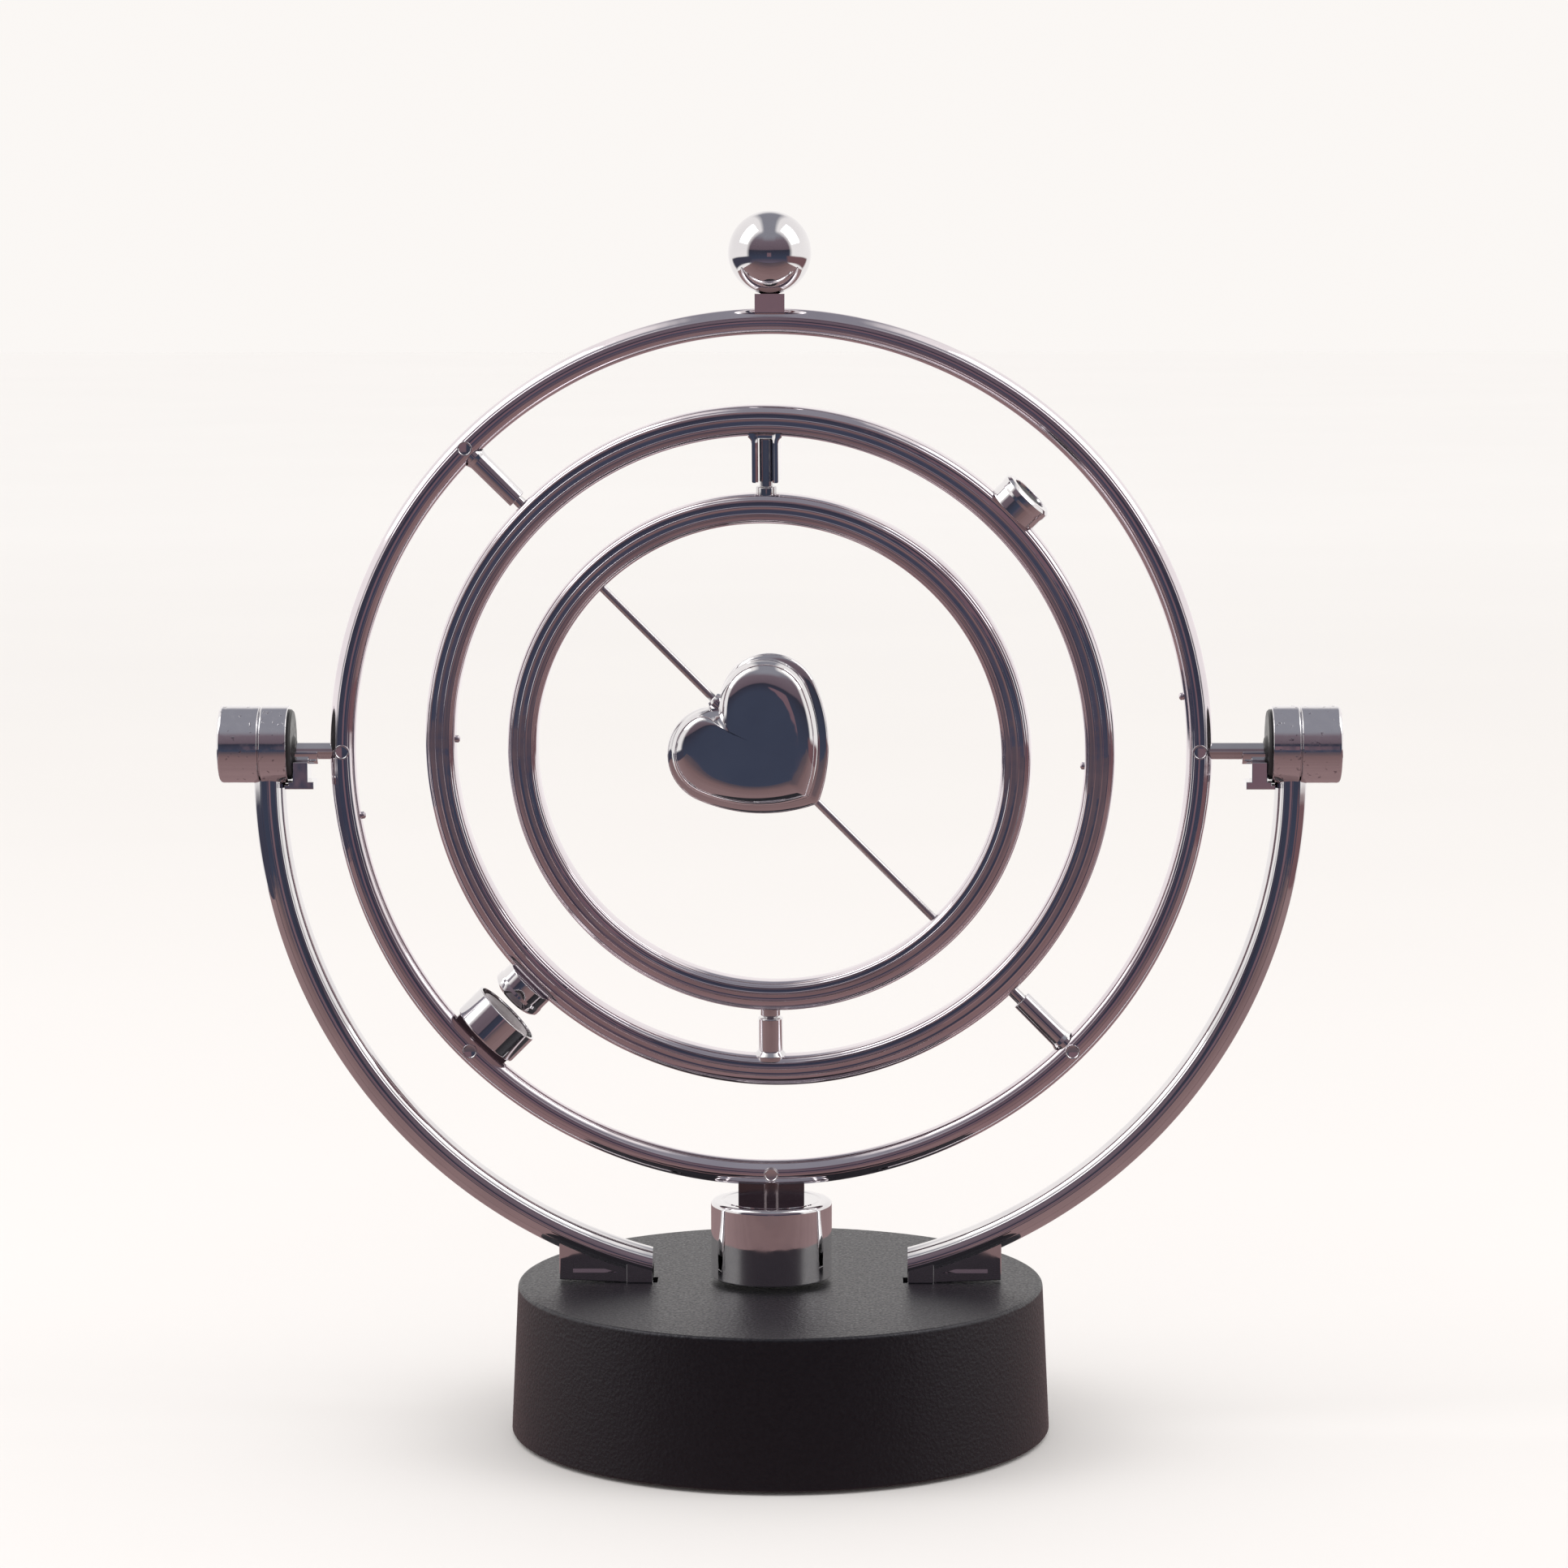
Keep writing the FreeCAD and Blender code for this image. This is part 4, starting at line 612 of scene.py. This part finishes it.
def arm(word, side):
    """A bow with its foot: a wedge with a sunk window each side, an end block, and a tenon into the base."""
    place = side_place(side) @ move(z=-ARM_DROP)
    shape = Shape()
    arm_bow(shape, place)
    floor = BASE_TOP - (AXIS_HEIGHT - ARM_DROP)
    end_x, toe_x, toe_lift = 30.4, 43.7, 0.6
    sill = floor + 2.0

    def bow(x):
        return -math.sqrt(ARM_RADIUS**2 - x**2)

    wedge = [
        (ARM_END, floor),
        (end_x, floor),
        (toe_x, floor + toe_lift),
        (toe_x, bow(toe_x)),
        (ARM_END, bow(ARM_END)),
    ]
    window = [(32.0, sill), (41.0, sill), (41.0, sill + 2.6)]
    pockets = [placed(prism(window, 3.6, 0), move(y=face * 2.5)) for face in (1, -1)]
    shape.add_bmesh(cut(prism(wedge, 5.0, 0.25), *pockets), place)
    end = [(ARM_END, floor), (end_x, floor), (end_x, bow(end_x)), (ARM_END, bow(ARM_END))]
    shape.add_bmesh(prism(end, 6.2, 0.25), place)
    tenon = block(end_x - ARM_END, 5.2, 2.5, 0.1)
    shape.add_bmesh(placed(tenon, move((end_x + ARM_END) / 2, 0, floor - 2.4)), place)
    piece(f"arm_{word}_bow", shape, STAND, CHROME, "chrome_plate", f"arm_{word}")


HOUSING_RISE = 1.3
HOUSING_RADIUS = 7.6


def housing(word, side):
    """A drum and its cap, a bearing disc in the inner end with a lip round the axle, and a bracket."""
    place = side_place(side) @ move(z=HOUSING_RISE) @ turn("Y", 90)
    drum = [
        (6.9, 96.1, 0.12),
        (HOUSING_RADIUS, 96.1, 0.25),
        (HOUSING_RADIUS, 101.45, 0.3),
        (6.9, 101.45, 0.05),
    ]
    cap = [
        (6.4, 100.3, 0),
        (6.88, 100.3, 0),
        (6.88, 101.7, 0.05),
        (HOUSING_RADIUS, 101.7, 0.3),
        (HOUSING_RADIUS, 109.6, 0.75),
        (0, 109.6, 0),
        (0, 108.6, 0),
        (6.4, 108.6, 0),
    ]
    for node, outline in ((f"housing_{word}", drum), (f"housing_cap_{word}", cap)):
        turned = placed(lathe(soften(outline), 128), place)
        piece(f"{node}_drum", turned, STAND, WORN, "chrome_plate", node)
    disc = [(0, 95.3, 0), (6.5, 95.3, 0.3), (6.87, 95.7, 0.1), (6.87, 97.0, 0.05), (0, 97.0, 0)]
    lip = [(1.76, 95.4, 0), (1.76, 94.6, 0.1), (2.5, 94.75, 0.25), (3.3, 95.35, 0), (3.3, 96, 0), (1.76, 96, 0)]
    shape = Shape().add_bmesh(lathe(soften(disc), 96), place)
    shape.add_bmesh(lathe(soften(lip), 64), place @ move(x=HOUSING_RISE))
    piece(f"bearing_disc_{word}_face", shape, STAND, BEARING, "bearing_plastic", f"bearing_disc_{word}")
    dress(f"bearing_bush_{word}", BRASS)
    dress(f"axle_bracket_{word}", CHROME, 0.15)


for side, word in ((1, "right"), (-1, "left")):
    arm(word, side)
    housing(word, side)

# ---- outer ring ------------------------------------------------------------------------------


def ring(name, node, body, place, radius, width, section, nubs=()):
    """A section turned round the ring's axis, with sprue nubs on the inside at the given angles."""
    nub = [(0, 0, 0), (0.7, 0, 0), (0.75, 1.3, 0.2), (0.4, 1.6, 0.1), (0, 1.45, 0)]
    sunk = 0.8
    middle = radius - width / 2
    outline = [(point.x + middle, point.y) for point in section]
    shape = Shape().add_bmesh(lathe(outline, 320), place @ FACING_FRONT)
    for angle in nubs:
        shape.add_bmesh(lathe(soften(nub), 20), spoke(place, angle, radius - width + sunk, inward=True))
    piece(name, shape, body, RING_CHROME, "chrome_plate", node)


def flat_section(width):
    """The two inner rings' section: a flatter bar with fine ridges along its faces."""
    return round_section(width, 5.4, 3.4, (-2.0, -0.85, 0.55, 1.9), 0.11)


OUTER_RADIUS, OUTER_WIDTH = 86.4, 5.1
outer_section = round_section(OUTER_WIDTH, 5.0, 2.05, (-0.95, 0.9))
ring("outer_ring_band", "outer_ring", OUTER, outer_place, OUTER_RADIUS, OUTER_WIDTH, outer_section, (7.6, 189.0))


def bosses():
    """The six round heads on the front of the outer ring, each with a dished face."""
    middle = OUTER_RADIUS - OUTER_WIDTH / 2
    outline = [(0, -0.6, 0), (1.45, -0.6, 0), (1.45, 0.3, 0.1), (1.22, 0.3, 0.08), (1.12, 0.1, 0.06), (0, 0.12, 0)]
    shape = Shape()
    for angle in (0, 135, 180, 225, 270, 315):
        place = spoke(outer_place, angle, middle) @ turn("Y", angle - 90) @ FACING_FRONT @ move(z=2.5)
        shape.add_bmesh(lathe(soften(outline), 40), place)
    piece("ring_boss_heads", shape, OUTER, CHROME, "chrome_plate", "ring_bosses")


bosses()


def rod(name, node, body, place, outline, material=AXLE, slot="axle_steel", **turning):
    """A turned piece that stands for one CAD node; it runs from its place along that place's Z."""
    bm = placed(lathe(soften(outline), **turning), place)
    piece(name, bm, body, material, slot, node)


for angle, word in ((0, "right"), (180, "left")):
    outline = [(0, 0, 0), (1.65, 0, 0), (1.65, 16.1, 0.35), (0, 16.1, 0)]
    place = spoke(outer_place, angle, 83.9)
    rod(f"axle_{word}_rod", f"axle_{word}", OUTER, place, outline, segments=64, seams=(90, 270))


def ball(radius=8.1, steps=64):
    """The finial's globe, turned from pole to pole."""
    angles = [math.pi * step / steps for step in range(steps + 1)]
    outline = [(radius * math.sin(angle), -radius * math.cos(angle)) for angle in angles]
    bm = placed(lathe(outline, 128, closed=False), spoke(outer_place, 90, 97.1))
    piece("finial_ball_globe", bm, OUTER, CHROME, "chrome_plate", "finial_ball")


ball()
dress("finial_stem", CHROME, 0.15)
dress("weight_saddle", SHADED_SADDLE_PLATE, 0.2)
dress("driver_saddle", SHADED_SADDLE_PLATE, 0.2)


def weight():
    """The large cup at the bottom, open below, with its magnet recessed in it."""
    start, end = 89.3, 104.5
    place = spoke(outer_place, 270, start)
    length = end - start
    cup = [
        (0, 0, 0),
        (9.2, 0, 0.2),
        (9.6, 0.2, 0.2),
        (10.0, 0, 0.2),
        (11.95, 0, 1.5),
        (11.95, length, 0.3),
        (11.0, length, 0.2),
        (10.9, length - 1.2, 0.1),
        (0, length - 1.2, 0),
    ]
    magnet = [(0, 2, 0), (10.85, 2, 0), (10.85, length - 0.5, 0.2), (0, length - 0.5, 0)]
    rod("weight_cup_drum", "weight_cup", OUTER, place, cup, CHROME, "chrome_plate", segments=160)
    rod("weight_magnet_disc", "weight_magnet", OUTER, place, magnet, FERRITE, "magnet", segments=96)


weight()


def driver():
    """The cup on the ring's inner side at lower left: its magnet's face shows, with a dark ring in the gap round it."""
    place = spoke(outer_place, 225, 79.9, inward=True)
    cup = [
        (0, 0, 0),
        (7.25, 0, 0.4),
        (7.25, 6.4, 0.3),
        (6.75, 6.4, 0.12),
        (6.6, 4.6, 0.1),
        (0, 4.6, 0),
    ]
    magnet = [(0, 1.3, 0), (5.75, 1.3, 0), (5.75, 6.1, 0.18), (0, 6.1, 0)]
    # a dark ring in the gap between the magnet and the cup's wall, so the recess round the magnet's face shows dark
    dark_ring = [(5.5, 4.5, 0), (6.7, 4.5, 0), (6.7, 5.7, 0.2), (5.5, 5.7, 0.2)]
    seam = {"segments": 128, "seams": (80,), "seam_height": 0.04}
    rod("driver_cup_drum", "driver_cup", OUTER, place, cup, CHROME, "chrome_plate", **seam)
    rod("driver_magnet_disc", "driver_magnet", OUTER, place, magnet, MAGNET_FACE, "magnet_face", segments=96)
    piece("driver_dark_ring", placed(lathe(soften(dark_ring), 96), place), OUTER, BEARING, "bearing_plastic")


driver()
for angle, word in ((135, "upper"), (315, "lower")):
    outline = [
        (0, 0, 0),
        (1.95, 0, 0),
        (1.95, 1.15, 0),
        (2.4, 1.1, 0.1),
        (2.05, 2.0, 0.4),
        (1.95, 12.7, 0.2),
        (1.21, 12.7, 0.05),
        (1.21, 6.9, 0),
        (0, 6.9, 0),
    ]
    place = spoke(outer_place, angle, 82.4, inward=True)
    node = f"pivot_post_{word}"
    rod(f"{node}_tube", node, OUTER, place, outline, CHROME, "chrome_plate", segments=64, seams=(60, 240))

# ---- middle ring -----------------------------------------------------------------------------

MID_RADIUS, MID_WIDTH = 67.9, 6.0
ring("mid_ring_band", "mid_ring", MID, mid_place, MID_RADIUS, MID_WIDTH, flat_section(MID_WIDTH), (-2.3, 179.0))


def pins(name, node, body, place, start, outlines):
    """Two turned pins, given as the outline at each angle."""
    shape = Shape()
    for angle, outline in outlines.items():
        shape.add_bmesh(lathe(soften(outline), 40), spoke(place, angle, start))
    piece(name, shape, body, AXLE, "axle_steel", node)


mid_pin = [(0, 0, 0), (1.15, 0, 0), (1.15, 8.6, 0.25), (0, 8.6, 0)]
pins("mid_pivot_rods", "mid_pivot_pins", MID, mid_place, 66.0, {135: mid_pin, 315: mid_pin})


def small_cup(angle, word):
    """A cup on the middle ring's outer edge, with a magnet let into it."""
    place = spoke(mid_place, angle, 67.4)
    cup = [
        (0, 0, 0),
        (5.35, 0, 0.15),
        (5.35, 2.6, 0.3),
        (5.5, 3.2, 0.3),
        (5.5, 4.25, 0.3),
        (4.9, 4.8, 0.35),
        (3.65, 4.8, 0.15),
        (3.5, 2.6, 0.1),
        (0, 2.6, 0),
    ]
    magnet = [(0, 2.45, 0), (3.47, 2.45, 0), (3.47, 4.4, 0.15), (0, 4.4, 0)]
    seam = {"segments": 96, "seams": (20, 200), "seam_height": 0.05}
    rod(f"magnet_cup_{word}_drum", f"magnet_cup_{word}", MID, place, cup, CHROME, "chrome_plate", **seam)
    rod(f"ring_magnet_{word}_disc", f"ring_magnet_{word}", MID, place, magnet, FERRITE, "magnet", segments=64)


small_cup(45, "upper")
small_cup(225, "lower")
POST_START = 62.7


def fork():
    """Two rails that stand down from the ring, bevelled towards the slot and flared at their roots."""
    place = spoke(mid_place, 90, POST_START, inward=True)
    slot_face, rail_width = 1.4, 1.2
    rail = soften([
        (slot_face, -1.9, 0.08),
        (1.85, -2.3, 0.1),
        (slot_face + rail_width, -2.3, 0.3),
        (slot_face + rail_width, 2.3, 0.3),
        (1.85, 2.3, 0.1),
        (slot_face, 1.9, 0.08),
    ])
    flares = [(0.0, 0.75), (0.95, 0.7), (1.2, 0.4), (1.55, 0.14), (2.1, 0.0), (9.6, 0.0), (9.8, -0.15)]
    count = len(rail)
    shape = Shape()
    for side in (1, -1):
        points = []
        for height, flare in flares:
            points += [(side * (x + flare * (x - slot_face) / rail_width), y, height) for x, y in rail]
        faces = bands(len(flares), count)
        faces.append(tuple(range(count)))
        faces.append(tuple(reversed(range(len(points) - count, len(points)))))
        shape.add(points, faces, place)
    shape.add_bmesh(block(3.0, 3.4, 1.15, 0), place)
    piece("fork_post_rails", shape, MID, CHROME, "chrome_plate", "fork_post")


fork()
outline = [
    (0, 0, 0),
    (3.1, 0, 0),
    (3.1, 0.9, 0.2),
    (2.4, 1.7, 0.5),
    (2.4, 8.5, 0.3),
    (1.36, 8.5, 0.1),
    (1.36, 2.1, 0),
    (0, 2.1, 0),
]
place = spoke(mid_place, 270, POST_START, inward=True)
rod("tube_post_barrel", "tube_post", MID, place, outline, CHROME, "chrome_plate", segments=64, seams=(0, 180))

# ---- inner ring ------------------------------------------------------------------------------

INNER_RADIUS, INNER_WIDTH = 51.65, 5.95
ring("inner_ring_band", "inner_ring", INNER, inner_place, INNER_RADIUS, INNER_WIDTH, flat_section(INNER_WIDTH))


def inner_pin(length):
    """A pin with a collar near its root."""
    return [
        (0, 0, 0),
        (1.3, 0, 0),
        (1.3, 1.7, 0),
        (2.0, 1.7, 0),
        (2.0, 3.4, 0.3),
        (1.3, 3.4, 0.15),
        (1.3, length, 0.25),
        (0, length, 0),
    ]


inner_pins = {90: inner_pin(12.8), 270: inner_pin(9.5)}
pins("inner_pivot_rods", "inner_pivot_pins", INNER, inner_place, 49.5, inner_pins)

# ---- heart -----------------------------------------------------------------------------------

# each half's outline: a round lobe, a long side arc, and the tip that they meet at
LOBE, LOBE_ACROSS, LOBE_UP, HEART_SIDE, HEART_TIP = 9.8, 7.4, 6.93, 31.5, 13.86
# the seam is the foot of the crown, a little smaller than the outline and set a little higher
SEAM_SHARE, SEAM_LIFT, CROWN_MIDDLE = 0.916, 1.025, 4.0
HEART_HALF_DEPTH, CROWN_FOOT = 5.8, 1.6


def heart_outline(steps=30):
    """The full outline, anticlockwise from the tip: side, lobe, lobe, side."""
    lobe = Vector((LOBE_ACROSS, LOBE_UP))
    tip = Vector((0, -HEART_TIP))
    reach = tip - lobe
    gap = HEART_SIDE - LOBE
    along = (gap**2 - HEART_SIDE**2 + reach.length_squared) / (2 * reach.length)
    across = math.sqrt(gap**2 - along**2)
    reach.normalize()
    centre = lobe + along * reach + across * Vector((reach.y, -reach.x))
    meeting = math.atan2(lobe.y - centre.y, lobe.x - centre.x)
    start = math.atan2(tip.y - centre.y, tip.x - centre.x)
    opening = math.acos(-LOBE_ACROSS / LOBE)
    half = []
    for step in range(steps):
        angle = start + (meeting - start) * step / steps
        half.append(centre + HEART_SIDE * Vector((math.cos(angle), math.sin(angle))))
    for step in range(steps + 1):
        angle = meeting + (opening - meeting) * step / steps
        half.append(lobe + LOBE * Vector((math.cos(angle), math.sin(angle))))
    other = [Vector((-point.x, point.y)) for point in reversed(half[1:-1])]
    return half + other


def heart_levels(steps=18):
    """The outline's size at each height above the parting face: (height, share, lift, crease)."""
    foot_share, narrowing = 0.908, 0.32
    rim = [(0.0, 1.0), (0.35, 1.0), (0.7, 0.994), (0.95, 0.98), (1.15, 0.958), (1.3, 0.925)]
    rim += [(1.36, SEAM_SHARE), (1.42, 0.912), (1.5, 0.916), (CROWN_FOOT, foot_share)]
    levels = [(height, share, SEAM_LIFT * (1 - share) / (1 - SEAM_SHARE), 0.0) for height, share in rim]
    for step in range(1, steps + 1):
        angle = math.radians(90 * step / steps)
        height = CROWN_FOOT + (HEART_HALF_DEPTH - CROWN_FOOT) * math.sin(angle) ** 0.95
        share = foot_share - narrowing * (1 - math.cos(angle)) ** 1.15
        kept = share / SEAM_SHARE
        levels.append((height, share, SEAM_LIFT * kept + CROWN_MIDDLE * (1 - kept), math.sin(angle) ** 1.5))
    return levels


def heart_level(outline, share, lift, crease, side):
    """One level's points; the cleft leans to one side, and its crease runs down over the crown."""
    reach, lean_at_rim, lean_more, crease_depth = 3.2, 0.5, 0.9, 1.7
    cleft = max((point for point in outline if abs(point.x) < 0.01), key=lambda point: point.y)
    points = []
    for point in outline:
        near = math.exp(-((point - cleft).length / reach) ** 2)
        lean = side * (lean_at_rim + lean_more * crease) * near
        points.append((point.x * share - lean, point.y * share + lift - crease_depth * crease * near))
    return points


def heart_half(name, node, facing, side):
    """One moulded half, from the parting face up to its crown, which closes in rings round its middle."""
    outline = heart_outline()
    count = len(outline)
    points = []
    for height, share, lift, crease in heart_levels():
        points += [(x, y, height) for x, y in heart_level(outline, share, lift, crease, side)]
    crown = points[-count:]
    middle = Vector((0, CROWN_MIDDLE + 0.8, HEART_HALF_DEPTH))
    for kept in (0.85, 0.7, 0.5, 0.3, 0.15):
        points += [tuple(middle.lerp(Vector(point), kept)) for point in crown]
    levels = len(points) // count
    faces = bands(levels, count)
    last, apex = (levels - 1) * count, levels * count
    points.append(tuple(middle))
    faces += [(last + index, last + (index + 1) % count, apex) for index in range(count)]
    faces.append(tuple(reversed(range(count))))
    place = heart_place @ turn("Y", -45) @ facing
    piece(name, Shape().add(points, faces, place), HEART, CHROME, "chrome_plate", node)


heart_half("heart_front_shell", "heart_front", FACING_FRONT, 1)
heart_half("heart_back_shell", "heart_back", FACING_FRONT @ turn("Y", 180), -1)
wire = [(0, 0, 0), (0.8, 0, 0), (0.8, 95, 0), (0, 95, 0)]
rod("heart_wire_rod", "heart_wire", HEART, spoke(heart_place, 135, -47.5), wire, segments=32)
sleeve = [(0.8, 0, 0), (1.8, 0, 0), (1.8, 4.2, 0.2), (1.4, 4.9, 0.2), (0.8, 4.9, 0.05)]
place = spoke(heart_place, 135, 10.5)
rod("wire_sleeve_barrel", "wire_sleeve", HEART, place, sleeve, CHROME, "chrome_plate", segments=40)

# ---- floor, light and camera -----------------------------------------------------------------
# lengths from here on are metres, apart from the size of a noise, which stays in millimetres


def flat_card(name, left, right, near, far, height, surface):
    """A level rectangle that isn't part of the toy."""
    mesh = bpy.data.meshes.new(name)
    corners = [(left, near, height), (right, near, height), (right, far, height), (left, far, height)]
    mesh.from_pydata(corners, [], [(0, 1, 2, 3)])
    mesh.materials.append(surface.material)
    made = bpy.data.objects.new(name, mesh)
    bpy.context.scene.collection.objects.link(made)
    return made


def mixed(surface, first, second, share, blend="MIX"):
    """Two colours of a surface, mixed by a fixed share."""
    made = surface.node("Mix", data_type="RGBA", blend_type=blend)
    made.inputs["Factor"].default_value = share
    surface.link(first, made.inputs[6])
    surface.link(second, made.inputs[7])
    return made.outputs[2]


def floor(reach=6.0):
    """A pale floor; the lights brighten it under the toy, so the paint is a little deeper there."""
    surface = Surface("floor_paint", Roughness=0.85)
    distance = surface.node("VectorMath", operation="LENGTH")
    surface.link(surface.place, distance.inputs[0])
    away = surface.range(distance.outputs["Value"], 0.0, 1.0, start=0.2, end=2.6)
    paint = surface.ramp(away, [(0.0, (0.75, 0.73, 0.72)), (0.4, (0.82, 0.8, 0.785)), (1.0, (0.885, 0.87, 0.86))])
    speckle = surface.ramp(surface.noise(220.0, 2.0), [(0.3, (0.99, 0.99, 0.99)), (0.7, (1.0, 1.0, 1.0))])
    surface.colour(mixed(surface, paint, speckle, 1.0, "MULTIPLY"))
    made = flat_card("floor", -reach, reach, -reach, reach, 0, surface)
    made.visible_glossy = False


def table_card():
    """A warm glowing card that only reflections see: a painted reflection of the table top that the chrome picks up
    from below.
    """
    near = -0.46
    surface = Surface("table_reflection_glow", Roughness=1.0)
    split = surface.node("SeparateXYZ")
    surface.link(surface.place, split.inputs["Vector"])
    depth = surface.range(split.outputs["Y"], 0.0, 1.0, start=near, end=0.0)
    tone = surface.ramp(depth, [
        (0.0, (0.07, 0.065, 0.095)),
        (0.25, (0.13, 0.095, 0.115)),
        (0.5, (0.28, 0.17, 0.17)),
        (1.0, (0.44, 0.29, 0.29)),
    ])
    grain = surface.ramp(surface.noise(30.0, 4.0, (0.15, 1.6, 1)), [(0.3, (0.12, 0.07, 0.08)), (0.7, (0.3, 0.2, 0.2))])
    surface.link(mixed(surface, tone, grain, 0.25), surface.shader.inputs["Emission Color"])
    surface.shader.inputs["Base Color"].default_value = (0, 0, 0, 1)
    surface.shader.inputs["Emission Strength"].default_value = 0.8
    made = flat_card("table_card", -0.4, 0.42, near, 0.3, -0.002, surface)
    made.visible_camera = False
    made.visible_diffuse = False
    made.visible_shadow = False
    made.visible_transmission = False


def area_light(name, place, target, width, height, power):
    data = bpy.data.lights.new(name, "AREA")
    data.shape = "RECTANGLE"
    data.size, data.size_y = width, height
    data.energy = power
    made = bpy.data.objects.new(name, data)
    made.location = place
    made.rotation_euler = (Vector(target) - Vector(place)).to_track_quat("-Z", "Y").to_euler()
    bpy.context.scene.collection.objects.link(made)


class Room:
    """The world round the toy, coloured by direction: X is right, Y is away from the front, Z is up."""

    def __init__(self, name):
        self.world = bpy.data.worlds.new(name)
        self.world.use_nodes = True
        self.tree = self.world.node_tree
        split = self.tree.nodes.new("ShaderNodeSeparateXYZ")
        self.link(self.tree.nodes.new("ShaderNodeTexCoord").outputs["Generated"], split.inputs["Vector"])
        aside = self.tree.nodes.new("ShaderNodeMath")
        aside.operation = "ABSOLUTE"
        self.link(split.outputs["X"], aside.inputs[0])
        self.across, self.away, self.up = (split.outputs[axis] for axis in "XYZ")
        self.aside = aside.outputs[0]

    def link(self, start, end):
        self.tree.links.new(start, end)

    def ramp(self, value, stops):
        """Colours at (position, colour) stops along a value from -1 to 1."""
        made = self.tree.nodes.new("ShaderNodeValToRGB")
        shift = self.tree.nodes.new("ShaderNodeMapRange")
        shift.inputs["From Min"].default_value = -1
        self.link(value, shift.inputs["Value"])
        self.link(shift.outputs["Result"], made.inputs["Fac"])
        elements = made.color_ramp.elements
        while len(elements) < len(stops):
            elements.new(0.5)
        for element, (position, colour) in zip(elements, stops):
            element.position = (position + 1) / 2
            element.color = (*colour, 1)
        return made.outputs["Color"]

    def mask(self, value, *stops):
        """A share from 0 to 1 at (position, share) stops along a value; it stays level past the ends."""
        ends = [(-1.0, stops[0][1]), *stops, (1.0, stops[-1][1])]
        return self.ramp(value, [(position, (share, share, share)) for position, share in ends])

    def plain(self, colour):
        made = self.tree.nodes.new("ShaderNodeRGB")
        made.outputs[0].default_value = (*colour, 1)
        return made.outputs[0]

    def mix(self, share, first, second):
        made = self.tree.nodes.new("ShaderNodeMix")
        made.data_type = "RGBA"
        self.link(share, made.inputs["Factor"])
        self.link(first, made.inputs[6])
        self.link(second, made.inputs[7])
        return made.outputs[2]

    def both(self, first, second):
        """Where two masks overlap."""
        return self.mix(first, self.plain((0, 0, 0)), second)


def studio():
    """A bright room: white behind the toy and at its sides, dim in front of it, grey overhead.

    Reflections see the whole room. The camera and the diffuse light see only its even brightness.
    """
    room = Room("studio")
    white, grey, mauve, red_brown = (1.05, 1.02, 1.0), (0.3, 0.3, 0.34), (0.2, 0.125, 0.15), (0.2, 0.14, 0.14)
    wall = room.ramp(room.up, [
        (-0.5, (0.17, 0.14, 0.19)),
        (-0.36, (0.11, 0.09, 0.125)),
        (-0.24, (0.055, 0.066, 0.105)),
        (0.0, (0.045, 0.048, 0.075)),
        (0.1, (0.04, 0.04, 0.06)),
        (0.16, (0.15, 0.11, 0.135)),
        (0.55, (0.2, 0.155, 0.185)),
        (0.75, grey),
    ])
    patch_level = room.mask(room.up, (-0.2, 0), (-0.18, 1), (-0.01, 1), (0.01, 0))
    patch_width = room.mask(room.aside, (0.096, 1), (0.106, 0))
    wall = room.mix(room.both(patch_width, patch_level), wall, room.plain(mauve))
    seen = room.mix(room.mask(room.away, (-0.54, 1), (-0.38, 0)), room.plain(white), wall)

    overhead = room.both(room.mask(room.aside, (0.2, 1), (0.33, 0)), room.mask(room.up, (0.5, 0), (0.72, 1)))
    seen = room.mix(overhead, seen, room.plain(grey))

    flank = room.mask(room.aside, (0.72, 0), (0.8, 1))
    horizon = room.mask(room.up, (-0.42, 0), (-0.38, 1), (-0.16, 1), (-0.12, 0))
    navy = (0.06, 0.06, 0.09)
    furniture = room.ramp(room.across, [(-1.0, navy), (-0.2, navy), (0.2, (0.17, 0.09, 0.1)), (1.0, (0.2, 0.11, 0.12))])
    seen = room.mix(room.both(flank, horizon), seen, furniture)

    seen = room.mix(room.mask(room.up, (-0.62, 1), (-0.5, 0)), seen, room.plain(red_brown))
    rays = room.tree.nodes.new("ShaderNodeLightPath")
    even = room.mix(rays.outputs["Is Camera Ray"], room.plain((1.1, 1.08, 1.06)), room.plain((0.965, 0.935, 0.91)))
    colour = room.mix(rays.outputs["Is Glossy Ray"], even, seen)
    room.link(colour, room.tree.nodes["Background"].inputs["Color"])
    bpy.context.scene.world = room.world


def camera():
    """Level with the rings, a little to the right and looking slightly down."""
    yaw, pitch, roll = math.radians(-0.848), math.radians(-6.841), math.radians(0.09)
    data = bpy.data.cameras.new("camera")
    data.sensor_width = 36.0
    data.lens = 118.0
    data.clip_start, data.clip_end = 0.01, 50
    made = bpy.data.objects.new("camera", data)
    bpy.context.scene.collection.objects.link(made)
    made.location = (0.01567, -1.0, 0.24895)
    level = Matrix.Rotation(math.pi / 2 + pitch, 4, "X")
    look = Matrix.Rotation(-yaw, 4, "Z") @ level @ Matrix.Rotation(-roll, 4, "Z")
    made.rotation_euler = look.to_euler()
    bpy.context.scene.camera = made


floor()
studio()
table_card()
TOY_MIDDLE = (0, 0, 0.13)
area_light("bank_left", (-0.8, -0.1, 0.9), TOY_MIDDLE, 0.6, 0.8, 3.2)
area_light("bank_right", (0.8, -0.1, 0.9), TOY_MIDDLE, 0.6, 0.8, 3.0)
camera()
bpy.context.scene.view_settings.view_transform = "Standard"
